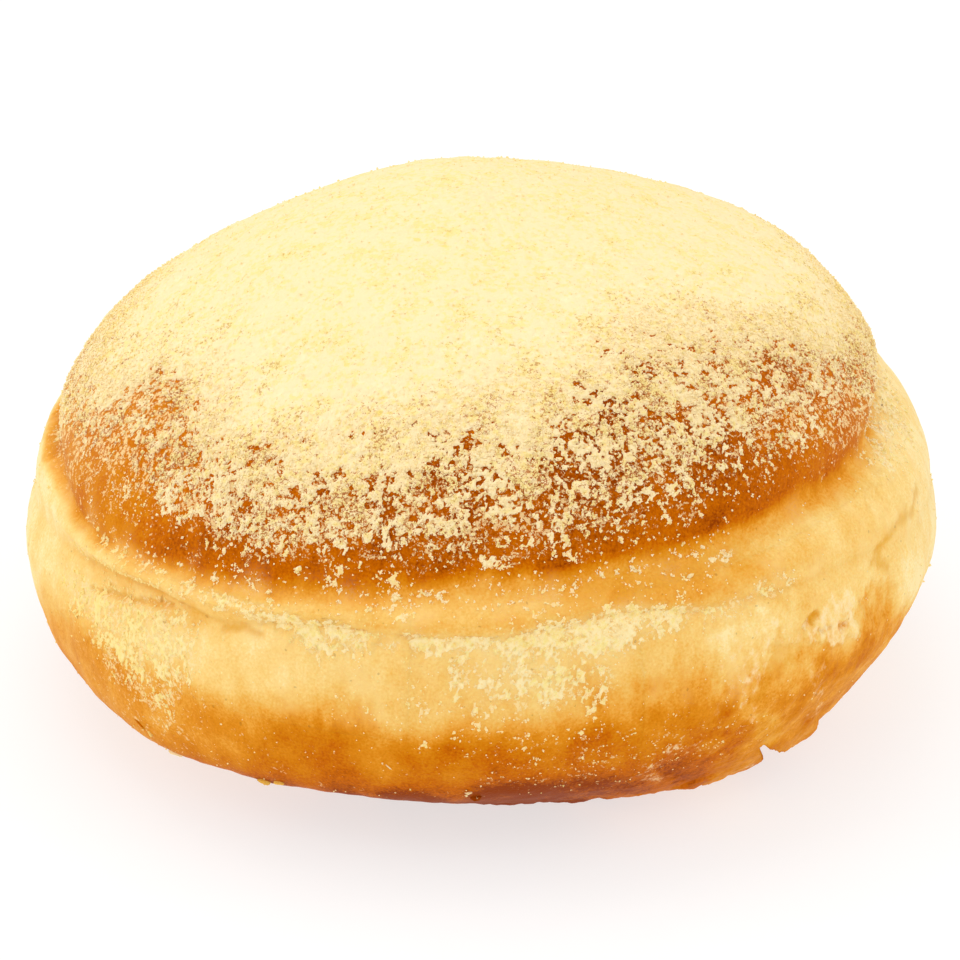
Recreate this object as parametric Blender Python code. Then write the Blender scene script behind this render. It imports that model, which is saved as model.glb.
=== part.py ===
"""A cream-filled doughnut, whole and uncut, as one solid of fried dough.

Metres, +Z up. The bun stands on a flat foot at z = 0, with +X to its right and -Y to its front.
A domed crown sits on a pale collar. Under the collar a crease runs round the bun, where the lower
half tucks in. It is deepest at the front left, and at the front right the skin has torn.

The outline is drawn through a few stations, from the edge of the foot up to the top of the crown.
Each station is a ring that may tilt and lean a little, as hand-made dough does. The crease, the
tear and the unevenness of the dough are then raised or sunk along the surface's own normals.
"""

import math
from dataclasses import dataclass

import bmesh
import bpy
import numpy as np

MM = 0.001
NODE = "doughnut"

# How fine the solid's facets are.
COLUMNS = 104
ROWS = 44
WIDE_ROW = 2.9
CREASE_ROW = 1.25
CREASE_ROWS_REACH = 9.0


@dataclass(frozen=True)
class Station:
    """One ring of the outline, in millimetres.

    The ring's height grows by rise_right towards +X and by rise_back towards +Y, and shrinks by as
    much on the other side. Its radius grows by lean_right towards +X in the same way.
    """

    name: str
    radius: float
    height: float
    rise_right: float = 0.0
    rise_back: float = 0.0
    lean_right: float = 0.0


OUTLINE = (
    Station("foot edge", 26.5, 0.0, lean_right=1.0),
    Station("keel", 36.4, 3.2, rise_right=-0.6, rise_back=-0.8, lean_right=0.4),
    Station("flank", 42.4, 8.8, rise_right=1.2, rise_back=0.2, lean_right=-0.8),
    Station("belly", 45.1, 15.8, rise_right=-0.3, rise_back=-1.0, lean_right=-0.3),
    Station("crease", 43.9, 22.5, rise_right=0.8, rise_back=-3.2),
    Station("collar", 43.0, 25.9, rise_right=1.8, rise_back=-1.5, lean_right=-0.8),
    Station("waist", 41.1, 29.4, rise_right=2.2, rise_back=-0.4, lean_right=-1.7),
    Station("shoulder", 39.6, 33.0, rise_right=1.3, rise_back=-0.8, lean_right=-0.9),
    Station("haunch", 33.2, 40.2, rise_right=1.2, rise_back=-1.2),
    Station("dome", 26.3, 44.5, rise_right=0.3, rise_back=-1.1, lean_right=0.9),
    Station("cap", 12.0, 49.6, rise_right=-0.2, lean_right=0.2),
    Station("top", 0.0, 51.4),
)


def past_the_top(station):
    """The same ring seen on from the top, down the far side, so that the top comes out rounded."""
    return Station(
        "past the top",
        -station.radius,
        station.height,
        -station.rise_right,
        -station.rise_back,
        station.lean_right,
    )


RINGS = OUTLINE + (past_the_top(OUTLINE[-2]),)


@dataclass(frozen=True)
class Stretch:
    """How deep the crease is round one side: depth in millimetres, place and reach in degrees."""

    azimuth: float
    reach: float
    depth: float


# The crease under the collar.
CREASE_ABOVE_STATION = 0.6
CREASE_DEPTH = 0.4
CREASE_WIDTH = 1.6
CREASE_WAVES = 10
CREASE_WAVE_HEIGHT = 0.7
CREASE_WAVE_AZIMUTH = -105.0
CREASE_STRETCHES = (
    Stretch(azimuth=-142.0, reach=26.0, depth=1.4),
    Stretch(azimuth=-40.0, reach=26.0, depth=0.7),
    Stretch(azimuth=75.0, reach=45.0, depth=0.3),
)

# The groove where the crown's crust ends and the collar begins.
WAIST_DEPTH = 0.15
WAIST_WIDTH = 1.5


@dataclass(frozen=True)
class Patch:
    """A rounded patch of the surface, sunk (negative depth) or raised, in millimetres.

    The patch is centred at an azimuth, in degrees, and at a distance above a station.
    """

    station: str
    above: float
    azimuth: float
    half_length: float
    half_height: float
    depth: float


TEAR = (
    Patch("belly", above=2.5, azimuth=-46.0, half_length=9.0, half_height=3.0, depth=-0.9),
    Patch("flank", above=0.5, azimuth=-50.0, half_length=5.0, half_height=2.2, depth=-0.9),
    Patch("keel", above=3.0, azimuth=-44.0, half_length=5.0, half_height=2.4, depth=0.9),
)

# The slow unevenness of the dough: waves that cross it in many directions.
SEED = 11
WAVES = 14
SHORTEST_WAVE = 24.0
LONGEST_WAVE = 60.0
WAVE_HEIGHT = 0.05
RELIEF_STARTS = 6.0

CRUST_COLOUR = (0.66, 0.33, 0.09, 1.0)
CRUST_ROUGHNESS = 0.55


def station_values(field):
    """One field of every ring, as an array."""
    return np.array([getattr(ring, field) for ring in RINGS])


def station_places():
    """How far along the outline each ring stands, in millimetres from the foot's edge."""
    steps = np.hypot(np.diff(station_values("radius")), np.diff(station_values("height")))
    return np.concatenate([[0.0], np.cumsum(steps)])


def place_of(name):
    """How far along the outline the station of this name stands."""
    names = [ring.name for ring in RINGS]
    return station_places()[names.index(name)]


def slope_weights(places):
    """The matrix that turns the stations' values into the curve's slope at each station."""
    count = len(places)
    weights = np.zeros((count, count))
    for index in range(1, count - 1):
        before = places[index] - places[index - 1]
        after = places[index + 1] - places[index]
        both = before + after
        weights[index, index + 1] = before / (both * after)
        weights[index, index - 1] = -after / (both * before)
        weights[index, index] = -weights[index, index + 1] - weights[index, index - 1]
    for end, inner in ((0, 1), (count - 1, count - 2)):
        gap = places[inner] - places[end]
        weights[end, inner] = 1.0 / gap
        weights[end, end] = -1.0 / gap
    return weights


def curve_weights(places, runs):
    """The matrix that turns the stations' values into a smooth curve's values at these runs."""
    segment = np.clip(np.searchsorted(places, runs, side="right") - 1, 0, len(places) - 2)
    gap = places[segment + 1] - places[segment]
    part = (runs - places[segment]) / gap
    rows = np.arange(len(runs))
    slopes = slope_weights(places)
    weights = np.zeros((len(runs), len(places)))
    weights[rows, segment] += 2 * part**3 - 3 * part**2 + 1
    weights[rows, segment + 1] += 3 * part**2 - 2 * part**3
    weights += ((part**3 - 2 * part**2 + part) * gap)[:, None] * slopes[segment]
    weights += ((part**3 - part**2) * gap)[:, None] * slopes[segment + 1]
    return weights


def row_runs():
    """Where the rows of vertices lie along the outline, closer together near the crease."""
    fine = np.linspace(0.0, place_of("top"), 2000)
    near = np.exp(-(((fine - place_of("crease")) / CREASE_ROWS_REACH) ** 2))
    density = 1.0 / WIDE_ROW + (1.0 / CREASE_ROW - 1.0 / WIDE_ROW) * near
    passed = np.concatenate([[0.0], np.cumsum((density[1:] + density[:-1]) / 2)])
    return np.interp(np.linspace(0.0, passed[-1], ROWS), passed, fine)


def smooth_surface(runs, azimuths):
    """The outline swept round the bun, as an array of points by row and column."""
    weights = curve_weights(station_places(), runs)
    right, back = np.cos(azimuths), np.sin(azimuths)
    radius = np.outer(weights @ station_values("radius"), np.ones_like(azimuths))
    radius += np.outer(weights @ station_values("lean_right"), right)
    height = np.outer(weights @ station_values("height"), np.ones_like(azimuths))
    height += np.outer(weights @ station_values("rise_right"), right)
    height += np.outer(weights @ station_values("rise_back"), back)
    return np.stack([radius * right, radius * back, np.maximum(height, 0.0)], axis=-1)


def outward_normals(points):
    """Unit normals of the swept surface, by row and column, pointing out of the bun."""
    up = np.gradient(points, axis=0)
    round_the_bun = np.roll(points, -1, axis=1) - np.roll(points, 1, axis=1)
    normals = np.cross(round_the_bun, up)
    lengths = np.linalg.norm(normals, axis=-1, keepdims=True)
    normals /= np.maximum(lengths, 1e-9)
    normals[-1] = (0.0, 0.0, 1.0)
    return normals


def turn_between(azimuths, degrees):
    """The angle from a direction to each azimuth, in radians, the short way round."""
    return (azimuths - math.radians(degrees) + math.pi) % math.tau - math.pi


def bump(distance):
    """A smooth bump: 1 at distance 0 and next to nothing beyond 2."""
    return np.exp(-(distance**2))


def crease_relief(runs, azimuths):
    """The crease under the collar: its line waves up and down, and its depth changes round the bun."""
    wave = np.cos(CREASE_WAVES * turn_between(azimuths, CREASE_WAVE_AZIMUTH))
    line = place_of("crease") + CREASE_ABOVE_STATION + CREASE_WAVE_HEIGHT * wave
    depth = np.full_like(azimuths, CREASE_DEPTH)
    for stretch in CREASE_STRETCHES:
        turn = turn_between(azimuths, stretch.azimuth)
        depth += stretch.depth * bump(turn / math.radians(stretch.reach))
    return -depth * bump((runs[:, None] - line) / CREASE_WIDTH)


def waist_relief(runs):
    """The shallow groove under the edge of the crown."""
    return -WAIST_DEPTH * bump((runs[:, None] - place_of("waist")) / WAIST_WIDTH)


def patch_relief(patch, runs, azimuths):
    """One sunk or raised patch of the torn side."""
    radius = station_values("radius").max()
    across = turn_between(azimuths, patch.azimuth) * radius / patch.half_length
    along = (runs - place_of(patch.station) - patch.above) / patch.half_height
    return patch.depth * bump(along[:, None]) * bump(across)


def uneven_relief(points):
    """The slow unevenness of hand-made dough, as waves through the bun in seeded directions."""
    random = np.random.default_rng(SEED)
    relief = np.zeros(points.shape[:-1])
    for _ in range(WAVES):
        direction = random.normal(size=3)
        length = random.uniform(SHORTEST_WAVE, LONGEST_WAVE)
        phase = random.uniform(0.0, math.tau)
        towards = direction / np.linalg.norm(direction)
        relief += WAVE_HEIGHT * np.sin(points @ towards * math.tau / length + phase)
    return relief


def bun_points():
    """The bun's surface by row and column, in millimetres, from the foot's edge to the top."""
    runs = row_runs()
    azimuths = np.arange(COLUMNS) * math.tau / COLUMNS
    points = smooth_surface(runs, azimuths)
    relief = crease_relief(runs, azimuths) + waist_relief(runs) + uneven_relief(points)
    for patch in TEAR:
        relief += patch_relief(patch, runs, azimuths)
    relief *= np.clip(runs / RELIEF_STARTS, 0.0, 1.0)[:, None]
    relief[-1] = relief[-1].mean()
    points = points + outward_normals(points) * relief[..., None]
    points[..., 2] = np.maximum(points[..., 2], 0.0)
    return points


def centred(points):
    """The same points, moved so that the middle of their width and depth is at x = y = 0."""
    low, high = points.min(axis=(0, 1)), points.max(axis=(0, 1))
    middle = (low + high) / 2
    return points - np.array([middle[0], middle[1], 0.0])


def bun_mesh():
    """The closed mesh of the bun: rings of quads, a fan at the top and one flat face for the foot."""
    points = centred(bun_points()) * MM
    mesh = bmesh.new()
    rings = [[mesh.verts.new(point) for point in row] for row in points[:-1]]
    top = mesh.verts.new(points[-1].mean(axis=0))
    for lower, upper in zip(rings, rings[1:]):
        for column in range(COLUMNS):
            beside = (column + 1) % COLUMNS
            mesh.faces.new((lower[column], lower[beside], upper[beside], upper[column]))
    for column in range(COLUMNS):
        mesh.faces.new((rings[-1][column], rings[-1][(column + 1) % COLUMNS], top))
    foot = mesh.faces.new(tuple(reversed(rings[0])))
    for face in mesh.faces:
        face.smooth = face is not foot
    data = bpy.data.meshes.new(NODE)
    mesh.to_mesh(data)
    mesh.free()
    return data


def crust_material():
    """Fried crust, golden brown and only a little glossy."""
    material = bpy.data.materials.new("crust")
    material.use_nodes = True
    shader = material.node_tree.nodes["Principled BSDF"]
    shader.inputs["Base Color"].default_value = CRUST_COLOUR
    shader.inputs["Roughness"].default_value = CRUST_ROUGHNESS
    shader.inputs["Metallic"].default_value = 0.0
    return material


def main():
    """Clear the scene and build the bun."""
    for old in list(bpy.data.objects):
        bpy.data.objects.remove(old, do_unlink=True)
    bun = bpy.data.objects.new(NODE, bun_mesh())
    bun.data.materials.append(crust_material())
    bpy.context.scene.collection.objects.link(bun)


main()
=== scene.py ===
"""The looks of a cream-filled doughnut: fried dough, a torn side and the powder sifted over it.

Lengths are in millimetres until a mesh is made. A place on the bun is given by its run and its
azimuth. The run is how far along the outline the place lies, up from the edge of the foot. The
azimuth is in degrees: 0 at +X, the bun's right, and -90 at its front.
"""

import itertools
import logging
import math
from collections.abc import Sequence
from dataclasses import dataclass, field
from enum import Enum

import bpy
import numpy as np
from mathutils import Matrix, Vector


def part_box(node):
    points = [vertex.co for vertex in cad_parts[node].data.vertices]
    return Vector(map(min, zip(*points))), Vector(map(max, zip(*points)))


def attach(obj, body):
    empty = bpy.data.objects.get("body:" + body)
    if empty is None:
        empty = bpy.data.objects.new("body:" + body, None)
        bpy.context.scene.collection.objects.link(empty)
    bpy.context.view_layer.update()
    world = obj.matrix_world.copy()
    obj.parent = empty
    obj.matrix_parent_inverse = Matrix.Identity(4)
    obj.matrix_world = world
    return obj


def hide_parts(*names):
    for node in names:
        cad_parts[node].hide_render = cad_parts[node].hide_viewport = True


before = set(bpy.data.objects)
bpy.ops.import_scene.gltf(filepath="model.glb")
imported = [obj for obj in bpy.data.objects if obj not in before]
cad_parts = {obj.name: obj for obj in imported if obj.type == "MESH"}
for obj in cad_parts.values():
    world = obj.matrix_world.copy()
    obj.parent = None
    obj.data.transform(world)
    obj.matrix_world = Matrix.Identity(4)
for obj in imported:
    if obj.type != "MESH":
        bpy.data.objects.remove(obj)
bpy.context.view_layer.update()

Array = np.ndarray
Colour = tuple[int, int, int]
Material = bpy.types.Material
Pair = tuple[float, float]
Piece = bpy.types.Object

MM = 0.001
NODE = "doughnut"
BODY = "root"
PHOTO_WIDTH = 960
WHITE = (1.0, 1.0, 1.0, 1.0)
SIDE_RADIUS = 44.0  # the bun's side is laid flat as if it had this radius
FRONT = -90.0  # the azimuth of the bun's front
BAKE_MAP = "OFBake"
LOG = logging.getLogger("doughnut")


class Slot(Enum):
    """The record's material slots."""

    CRUST = "crust"
    POWDER = "powder"


# Random fields -----------------------------------------------------------------------------


# Whole numbers that stir the bits of a lattice cell's place until they look random.
CELL_STIRRERS = (0x9E3779B185EBCA87, 0xC2B2AE3D27D4EB4F, 0x165667B19E3779F9)
SEED_STIRRER = 2654435761
SEED_START = 97
LAST_STIRRER = np.uint64(0xFF51AFD7ED558CCD)
STIR_SHIFT = np.uint64(33)


def scrambled(cells: Array, seed: int) -> Array:
    """Gives every cell of a lattice a whole number that looks random.

    Args:
        cells: the cells, as rows of three whole numbers.
        seed: another seed gives other numbers.

    Returns:
        One 64-bit number for each cell.
    """
    x, y, z = (
        cells[..., axis].astype(np.int64).view(np.uint64) * np.uint64(stirrer)
        for axis, stirrer in enumerate(CELL_STIRRERS)
    )
    mixed = x ^ y
    mixed ^= z + np.uint64(seed * SEED_STIRRER + SEED_START)
    for _ in range(2):
        mixed ^= mixed >> STIR_SHIFT
        mixed *= LAST_STIRRER
    return mixed ^ (mixed >> STIR_SHIFT)


def ease(values: Array | float, low: float | Array, high: float | Array) -> Array:
    """Rises smoothly from 0 where a value is at low to 1 where it is at high."""
    part = np.clip((values - low) / (high - low), 0.0, 1.0)
    return part * part * (3.0 - 2.0 * part)


def bump(distance: Array) -> Array:
    """A smooth bump: 1 at distance 0 and next to nothing beyond 2."""
    return np.exp(-(distance**2))


@dataclass(frozen=True)
class Hills:
    """Smooth random hills and hollows through space, about as high as deep.

    Each octave halves the size of the hills and keeps a share of their height.
    """

    size: float
    seed: int
    octaves: int = 1
    keep: float = 0.5
    height: float = 1.0

    DIRECTIONS = 64
    DIRECTION_SEED = 7
    SPREAD = 0.28
    OCTAVE_SHIFT = 0.37
    OCTAVE_SEEDS = 31

    def at(self, points: Array) -> Array:
        """The height of the hills at some points.

        Args:
            points: rows of x, y and z.

        Returns:
            The height at each point, seldom more than the hills' height either way.
        """
        total = np.zeros(len(points))
        weights = [self.keep**octave for octave in range(self.octaves)]
        for octave, weight in enumerate(weights):
            moved = points / (self.size / 2**octave) + self.OCTAVE_SHIFT * octave
            total += weight * self.one_octave(moved, self.seed + self.OCTAVE_SEEDS * octave)
        return self.height * (total / (self.SPREAD * math.hypot(*weights)))

    def one_octave(self, points: Array, seed: int) -> Array:
        """Gradient noise on the unit lattice.

        Args:
            points: rows of x, y and z, in cells of the lattice.
            seed: another seed gives other noise.

        Returns:
            The noise at each point, from about -1 to 1.
        """
        directions = np.random.default_rng(self.DIRECTION_SEED).normal(size=(self.DIRECTIONS, 3))
        directions /= np.linalg.norm(directions, axis=1, keepdims=True)
        cell = np.floor(points)
        part = points - cell
        fade = part**3 * (part * (part * 6.0 - 15.0) + 10.0)
        total = np.zeros(len(points))
        for corner in itertools.product((0, 1), repeat=3):
            pick = scrambled(cell + corner, seed) % np.uint64(self.DIRECTIONS)
            slope = np.einsum("ij,ij->i", directions[pick], part - corner)
            total += slope * np.prod(np.where(corner, fade, 1.0 - fade), axis=1)
        return total


@dataclass(frozen=True)
class Grit:
    """Round grains packed through space: 1 in the middle of a grain, falling to 0 between them."""

    size: float
    seed: int

    PLACE_BITS = 20

    def at(self, points: Array) -> Array:
        """How near some points are to the middle of a grain.

        Args:
            points: rows of x, y and z.

        Returns:
            A value from 0 to 1 at each point.
        """
        scaled = points / self.size
        cell = np.floor(scaled)
        steps = 2.0**self.PLACE_BITS
        last_step = np.uint64(steps - 1.0)
        nearest = np.full(len(points), np.inf)
        for offset in itertools.product((-1, 0, 1), repeat=3):
            here = cell + offset
            numbers = scrambled(here, self.seed)
            parts = [numbers >> np.uint64(self.PLACE_BITS * axis) & last_step for axis in range(3)]
            gap = here + np.stack(parts, axis=1) / steps - scaled
            nearest = np.minimum(nearest, np.einsum("ij,ij->i", gap, gap))
        return np.clip(1.0 - nearest, 0.0, 1.0)


# The bun's form ----------------------------------------------------------------------------


@dataclass(frozen=True)
class Places:
    """Places on the bun's surface, as flat arrays."""

    run: Array
    azimuth: Array

    @classmethod
    def on_flat_map(cls, flat: Array, top: float) -> "Places":
        """Places given by x and y on the crust laid flat round its top, which is at this run."""
        away = np.hypot(flat[:, 0], flat[:, 1])
        return cls(top - away, np.degrees(np.arctan2(flat[:, 1], flat[:, 0])))

    def flat(self, top: float) -> Array:
        """The places on the crust laid flat round its top, which has this run."""
        away, turn = top - self.run, np.radians(self.azimuth)
        return np.stack([away * np.cos(turn), away * np.sin(turn)], axis=1)

    def wall(self, stretch: float = 1.0) -> Array:
        """Points for fields that run up the bun's side, drawn out upward by stretch."""
        turn = np.radians(self.azimuth)
        return np.stack([SIDE_RADIUS * np.cos(turn), SIDE_RADIUS * np.sin(turn), self.run / stretch], axis=1)

    def turned_from(self, azimuth: float) -> Array:
        """The angle from one azimuth to each place, the short way round, in degrees."""
        return (self.azimuth - azimuth + 180.0) % 360.0 - 180.0

    def unrolled(self, azimuth: float) -> Array:
        """The bun's side laid flat: millimetres round from one azimuth, and the run."""
        return np.stack([np.radians(self.turned_from(azimuth)) * SIDE_RADIUS, self.run], axis=1)

    def chosen(self, which: Array) -> "Places":
        """Only the places that an index or a mask picks."""
        return Places(self.run[which], self.azimuth[which])


@dataclass(frozen=True)
class RoundLine:
    """A size that changes round the bun, drawn smoothly through its values at a few azimuths."""

    knots: tuple[Pair, ...]
    blur: float = 3.0

    STEP = 0.25

    def at(self, places: Places) -> Array:
        """The size at some places.

        Args:
            places: the places; only their azimuth counts.

        Returns:
            The size at each place.
        """
        turns = np.arange(-180.0, 180.0, self.STEP)
        azimuths, values = zip(*sorted(self.knots))
        raw = np.interp(turns, azimuths, values, period=360.0)
        kernel = bump(turns / self.blur)
        drawn = np.fft.irfft(np.fft.rfft(raw) * np.fft.rfft(np.fft.ifftshift(kernel)), len(turns))
        return np.interp(places.azimuth, turns, drawn / kernel.sum(), period=360.0)


@dataclass(frozen=True)
class Drawn:
    """A line drawn with a ragged hand on the bun's side, through corners of azimuth and run."""

    corners: tuple[Pair, ...]
    ragged: float = 0.2

    HAND = tuple(Hills(1.7, seed, octaves=4, keep=0.7) for seed in (91, 92))
    REACH = 4.0
    CLOSED = False

    def measured(self, places: Places) -> tuple[Array, Array]:
        """Measures places against the line.

        Args:
            places: where to measure.

        Returns:
            How far each place lies from the line, up to the reach, and whether the line runs round it.
        """
        middle = sum(azimuth for azimuth, _ in self.corners) / len(self.corners)
        line = Places(*np.array(self.corners)[:, ::-1].T).unrolled(middle)
        spots = places.unrolled(middle)
        near = ((spots > line.min(axis=0) - self.REACH) & (spots < line.max(axis=0) + self.REACH)).all(axis=1)
        gap, inside = np.full(len(spots), self.REACH), np.zeros(len(spots), bool)
        wall = places.chosen(near).wall()
        strayed = np.stack([hills.at(wall) for hills in self.HAND], axis=1)
        gap[near], inside[near] = self.around(line, spots[near] + self.ragged * strayed)
        return gap, inside

    def around(self, line: Array, spots: Array) -> tuple[Array, Array]:
        """Measures spots against the line, both laid flat.

        Args:
            line: the line's corners.
            spots: what to measure.

        Returns:
            The distance from each spot to the line, and whether the line runs round it.
        """
        gap, inside = np.full(len(spots), self.REACH), np.zeros(len(spots), bool)
        edges = zip(line, np.roll(line, -1, axis=0)) if self.CLOSED else zip(line[:-1], line[1:])
        for start, end in edges:
            edge, away = end - start, spots - start
            along = np.clip(away @ edge / (edge @ edge), 0.0, 1.0)
            gap = np.minimum(gap, np.hypot(*(away - along[:, None] * edge).T))
            passed = (start[1] > spots[:, 1]) != (end[1] > spots[:, 1])
            beside = away[:, 0] * edge[1] < away[:, 1] * edge[0]
            inside ^= passed & (beside == (edge[1] > 0.0))
        return gap, inside


@dataclass(frozen=True)
class Stroke(Drawn):
    """A soft line on the bun's side."""

    def share(self, places: Places, soft: float) -> Array:
        """How much of the line shows at each place; soft is half its width."""
        return bump(self.measured(places)[0] / soft)


@dataclass(frozen=True)
class Patch(Drawn):
    """A patch of the bun's side with a ragged edge."""

    CLOSED = True

    def share(self, places: Places, soft: float) -> Array:
        """How much of the patch shows at each place; soft is half the width of its edge."""
        gap, inside = self.measured(places)
        return ease(np.where(inside, gap, -gap), -soft, soft)


@dataclass(frozen=True)
class Mark:
    """What a stroke or a patch does to the dough: it lifts or sinks it and changes its colour.

    A mark with a hinge is torn loose below that run, and stands out most at its lower edge.
    """

    shape: Stroke | Patch
    soft: float = 0.4
    lift: float = 0.0
    hinge: float | None = None
    toast: float = 0.0
    # gold: where the mark sinks the dough, this is partly painted shade.
    gold: float = 0.0
    skin: float = 0.0

    FLAP = 4.0

    def share(self, places: Places) -> Array:
        """How much of the mark shows at each place."""
        return self.shape.share(places, self.soft)

    def rise(self, places: Places) -> Array:
        """How far the mark lifts the dough at each place."""
        lever = 1.0 if self.hinge is None else np.clip((self.hinge - places.run) / self.FLAP, 0.0, 1.0)
        return self.lift * lever * self.share(places)


@dataclass(frozen=True)
class Band:
    """A soft band round the bun: the run of its middle and how far it fades to either side."""

    middle: float
    fade: float

    def at(self, run: Array) -> Array:
        """How much of the band there is at each run."""
        return bump((run - self.middle) / self.fade)


@dataclass(frozen=True)
class Area:
    """A soft area of the bun's side: its middle, and how far it fades in degrees and in run."""

    azimuth: float
    run: float
    turn_fade: float
    run_fade: float

    def at(self, places: Places) -> Array:
        """How much of the area there is at each place."""
        sideways = bump(places.turned_from(self.azimuth) / self.turn_fade)
        return sideways * bump((places.run - self.run) / self.run_fade)


@dataclass(frozen=True)
class Sector:
    """A soft sector of the bun, which rises from nothing at one run to full strength at another."""

    azimuth: float
    turn_fade: float
    runs: Pair

    def at(self, places: Places) -> Array:
        """How much of the sector there is at each place."""
        return bump(places.turned_from(self.azimuth) / self.turn_fade) * ease(places.run, *self.runs)


@dataclass(frozen=True)
class Window:
    """An oblong of the bun's side that has a finer mesh of its own.

    The finer mesh stands a little proud and dips under the rest at its border. The rest is sunk
    behind it, from one distance inside the border to another.
    """

    name: str
    azimuth: float
    run: float
    half_length: float
    half_height: float

    PROUD, DIP = 0.04, 0.3
    DIPS = (0.8, 0.0)
    SINKS = (1.0, 2.4)
    MAP_HALF = 0.49

    def inside(self, places: Places) -> Array:
        """How far inside its border each place lies, in millimetres, and below 0 outside it."""
        across, along = places.unrolled(self.azimuth).T
        return np.minimum(self.half_length - np.abs(across), self.half_height - np.abs(along - self.run))


@dataclass(frozen=True)
class Station:
    """One ring of the outline.

    The ring's height grows by rise_right towards +X and by rise_back towards +Y, and shrinks by as
    much on the other side. Its radius grows by lean_right towards +X in the same way.
    """

    name: str
    radius: float
    height: float
    rise_right: float = 0.0
    rise_back: float = 0.0
    lean_right: float = 0.0


STATIONS = (
    Station("foot edge", 26.5, 0.0, lean_right=1.0),
    Station("keel", 36.4, 3.2, rise_right=-0.6, rise_back=-0.8, lean_right=0.4),
    Station("flank", 42.4, 8.8, rise_right=1.2, rise_back=0.2, lean_right=-0.8),
    Station("belly", 45.1, 15.8, rise_right=-0.3, rise_back=-1.0, lean_right=-0.3),
    Station("crease", 43.9, 22.5, rise_right=0.8, rise_back=-3.2),
    Station("collar", 43.0, 25.9, rise_right=1.8, rise_back=-1.5, lean_right=-0.8),
    Station("waist", 41.1, 29.4, rise_right=2.2, rise_back=-0.4, lean_right=-1.7),
    Station("shoulder", 39.6, 33.0, rise_right=1.3, rise_back=-0.8, lean_right=-0.9),
    Station("haunch", 33.2, 40.2, rise_right=1.2, rise_back=-1.2),
    Station("dome", 26.3, 44.5, rise_right=0.3, rise_back=-1.1, lean_right=0.9),
    Station("cap", 12.0, 49.6, rise_right=-0.2, lean_right=0.2),
    Station("top", 0.0, 51.4),
)


class Outline:
    """The bun's outline, swept round it through its stations."""

    NUDGE = 0.05

    def __init__(self, stations: Sequence[Station]) -> None:
        """Lays the stations out along the outline.

        Args:
            stations: the rings, from the edge of the foot up to the top.
        """
        cap = stations[-2]
        rises = (-cap.rise_right, -cap.rise_back)
        self.rings = (*stations, Station("past top", -cap.radius, cap.height, *rises, cap.lean_right))
        steps = np.hypot(np.diff(self.column("radius")), np.diff(self.column("height")))
        self.runs = np.concatenate([[0.0], np.cumsum(steps)])
        self.top = float(self.runs[-2])
        self.foot = stations[0].radius

    def column(self, name: str) -> Array:
        """One size of every ring."""
        return np.array([getattr(ring, name) for ring in self.rings])

    def slopes(self) -> Array:
        """How steep the smooth curve through the stations is.

        Returns:
            The matrix that turns the stations' values into the curve's slope at each station.
        """
        count = len(self.runs)
        weights = np.zeros((count, count))
        for index in range(1, count - 1):
            before = self.runs[index] - self.runs[index - 1]
            after = self.runs[index + 1] - self.runs[index]
            weights[index, index + 1] = before / ((before + after) * after)
            weights[index, index - 1] = -after / ((before + after) * before)
            weights[index, index] = -weights[index, index + 1] - weights[index, index - 1]
        for end, inner in ((0, 1), (count - 1, count - 2)):
            weights[end, inner] = 1.0 / (self.runs[inner] - self.runs[end])
            weights[end, end] = -weights[end, inner]
        return weights

    def weights(self, runs: Array) -> Array:
        """How much each station counts along the outline.

        Args:
            runs: how far along the outline.

        Returns:
            The matrix that turns the stations' values into the smooth curve's values at these runs.
        """
        segment = np.clip(np.searchsorted(self.runs, runs, side="right") - 1, 0, len(self.runs) - 2)
        gap = self.runs[segment + 1] - self.runs[segment]
        part = (runs - self.runs[segment]) / gap
        rows = np.arange(len(runs))
        slopes = self.slopes()
        weights = (part * (part - 1.0) ** 2 * gap)[:, None] * slopes[segment]
        weights += (part * part * (part - 1.0) * gap)[:, None] * slopes[segment + 1]
        weights[rows, segment] += (1.0 + 2.0 * part) * (1.0 - part) ** 2
        weights[rows, segment + 1] += part * part * (3.0 - 2.0 * part)
        return weights

    def points(self, places: Places) -> Array:
        """Where some places lie on the smooth outline, and on the flat foot where the run is negative.

        Args:
            places: the places.

        Returns:
            Rows of x, y and z.
        """
        turn = np.radians(places.azimuth)
        right, back = np.cos(turn), np.sin(turn)
        weights = self.weights(np.clip(places.run, 0.0, self.top))
        radius = weights @ self.column("radius") + weights @ self.column("lean_right") * right
        radius *= np.clip(1.0 + places.run / self.foot, 0.0, 1.0)
        height = weights @ self.column("height") + weights @ self.column("rise_right") * right
        height += weights @ self.column("rise_back") * back
        height = np.where(places.run > 0.0, np.maximum(height, 0.0), 0.0)
        return np.stack([radius * right, radius * back, height], axis=1)

    def normals(self, places: Places) -> Array:
        """Which way the smooth outline faces.

        Args:
            places: where to look.

        Returns:
            A unit normal at each place, pointing out of the bun.
        """
        flat = places.flat(self.top)
        sides = []
        for shift in ((self.NUDGE, 0.0), (0.0, self.NUDGE)):
            ahead = self.points(Places.on_flat_map(flat + shift, self.top))
            behind = self.points(Places.on_flat_map(flat - shift, self.top))
            sides.append(ahead - behind)
        normals = np.cross(*sides)
        lengths = np.linalg.norm(normals, axis=1, keepdims=True)
        normals /= np.maximum(lengths, np.finfo(float).tiny)
        normals[places.run < 0.0] = (0.0, 0.0, -1.0)
        return normals


# Shader building ---------------------------------------------------------------------------


def seen(red: int, green: int, blue: int) -> tuple[float, float, float, float]:
    """Turns a colour as the eye sees it into the renderer's own scale, by the sRGB curve.

    Args:
        red: from 0 to 255.
        green: from 0 to 255.
        blue: from 0 to 255.

    Returns:
        The colour with an alpha of 1.
    """
    parts = [part / 255.0 for part in (red, green, blue)]
    linear = [part / 12.92 if part <= 0.04045 else ((part + 0.055) / 1.055) ** 2.4 for part in parts]
    return (*linear, 1.0)


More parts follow.
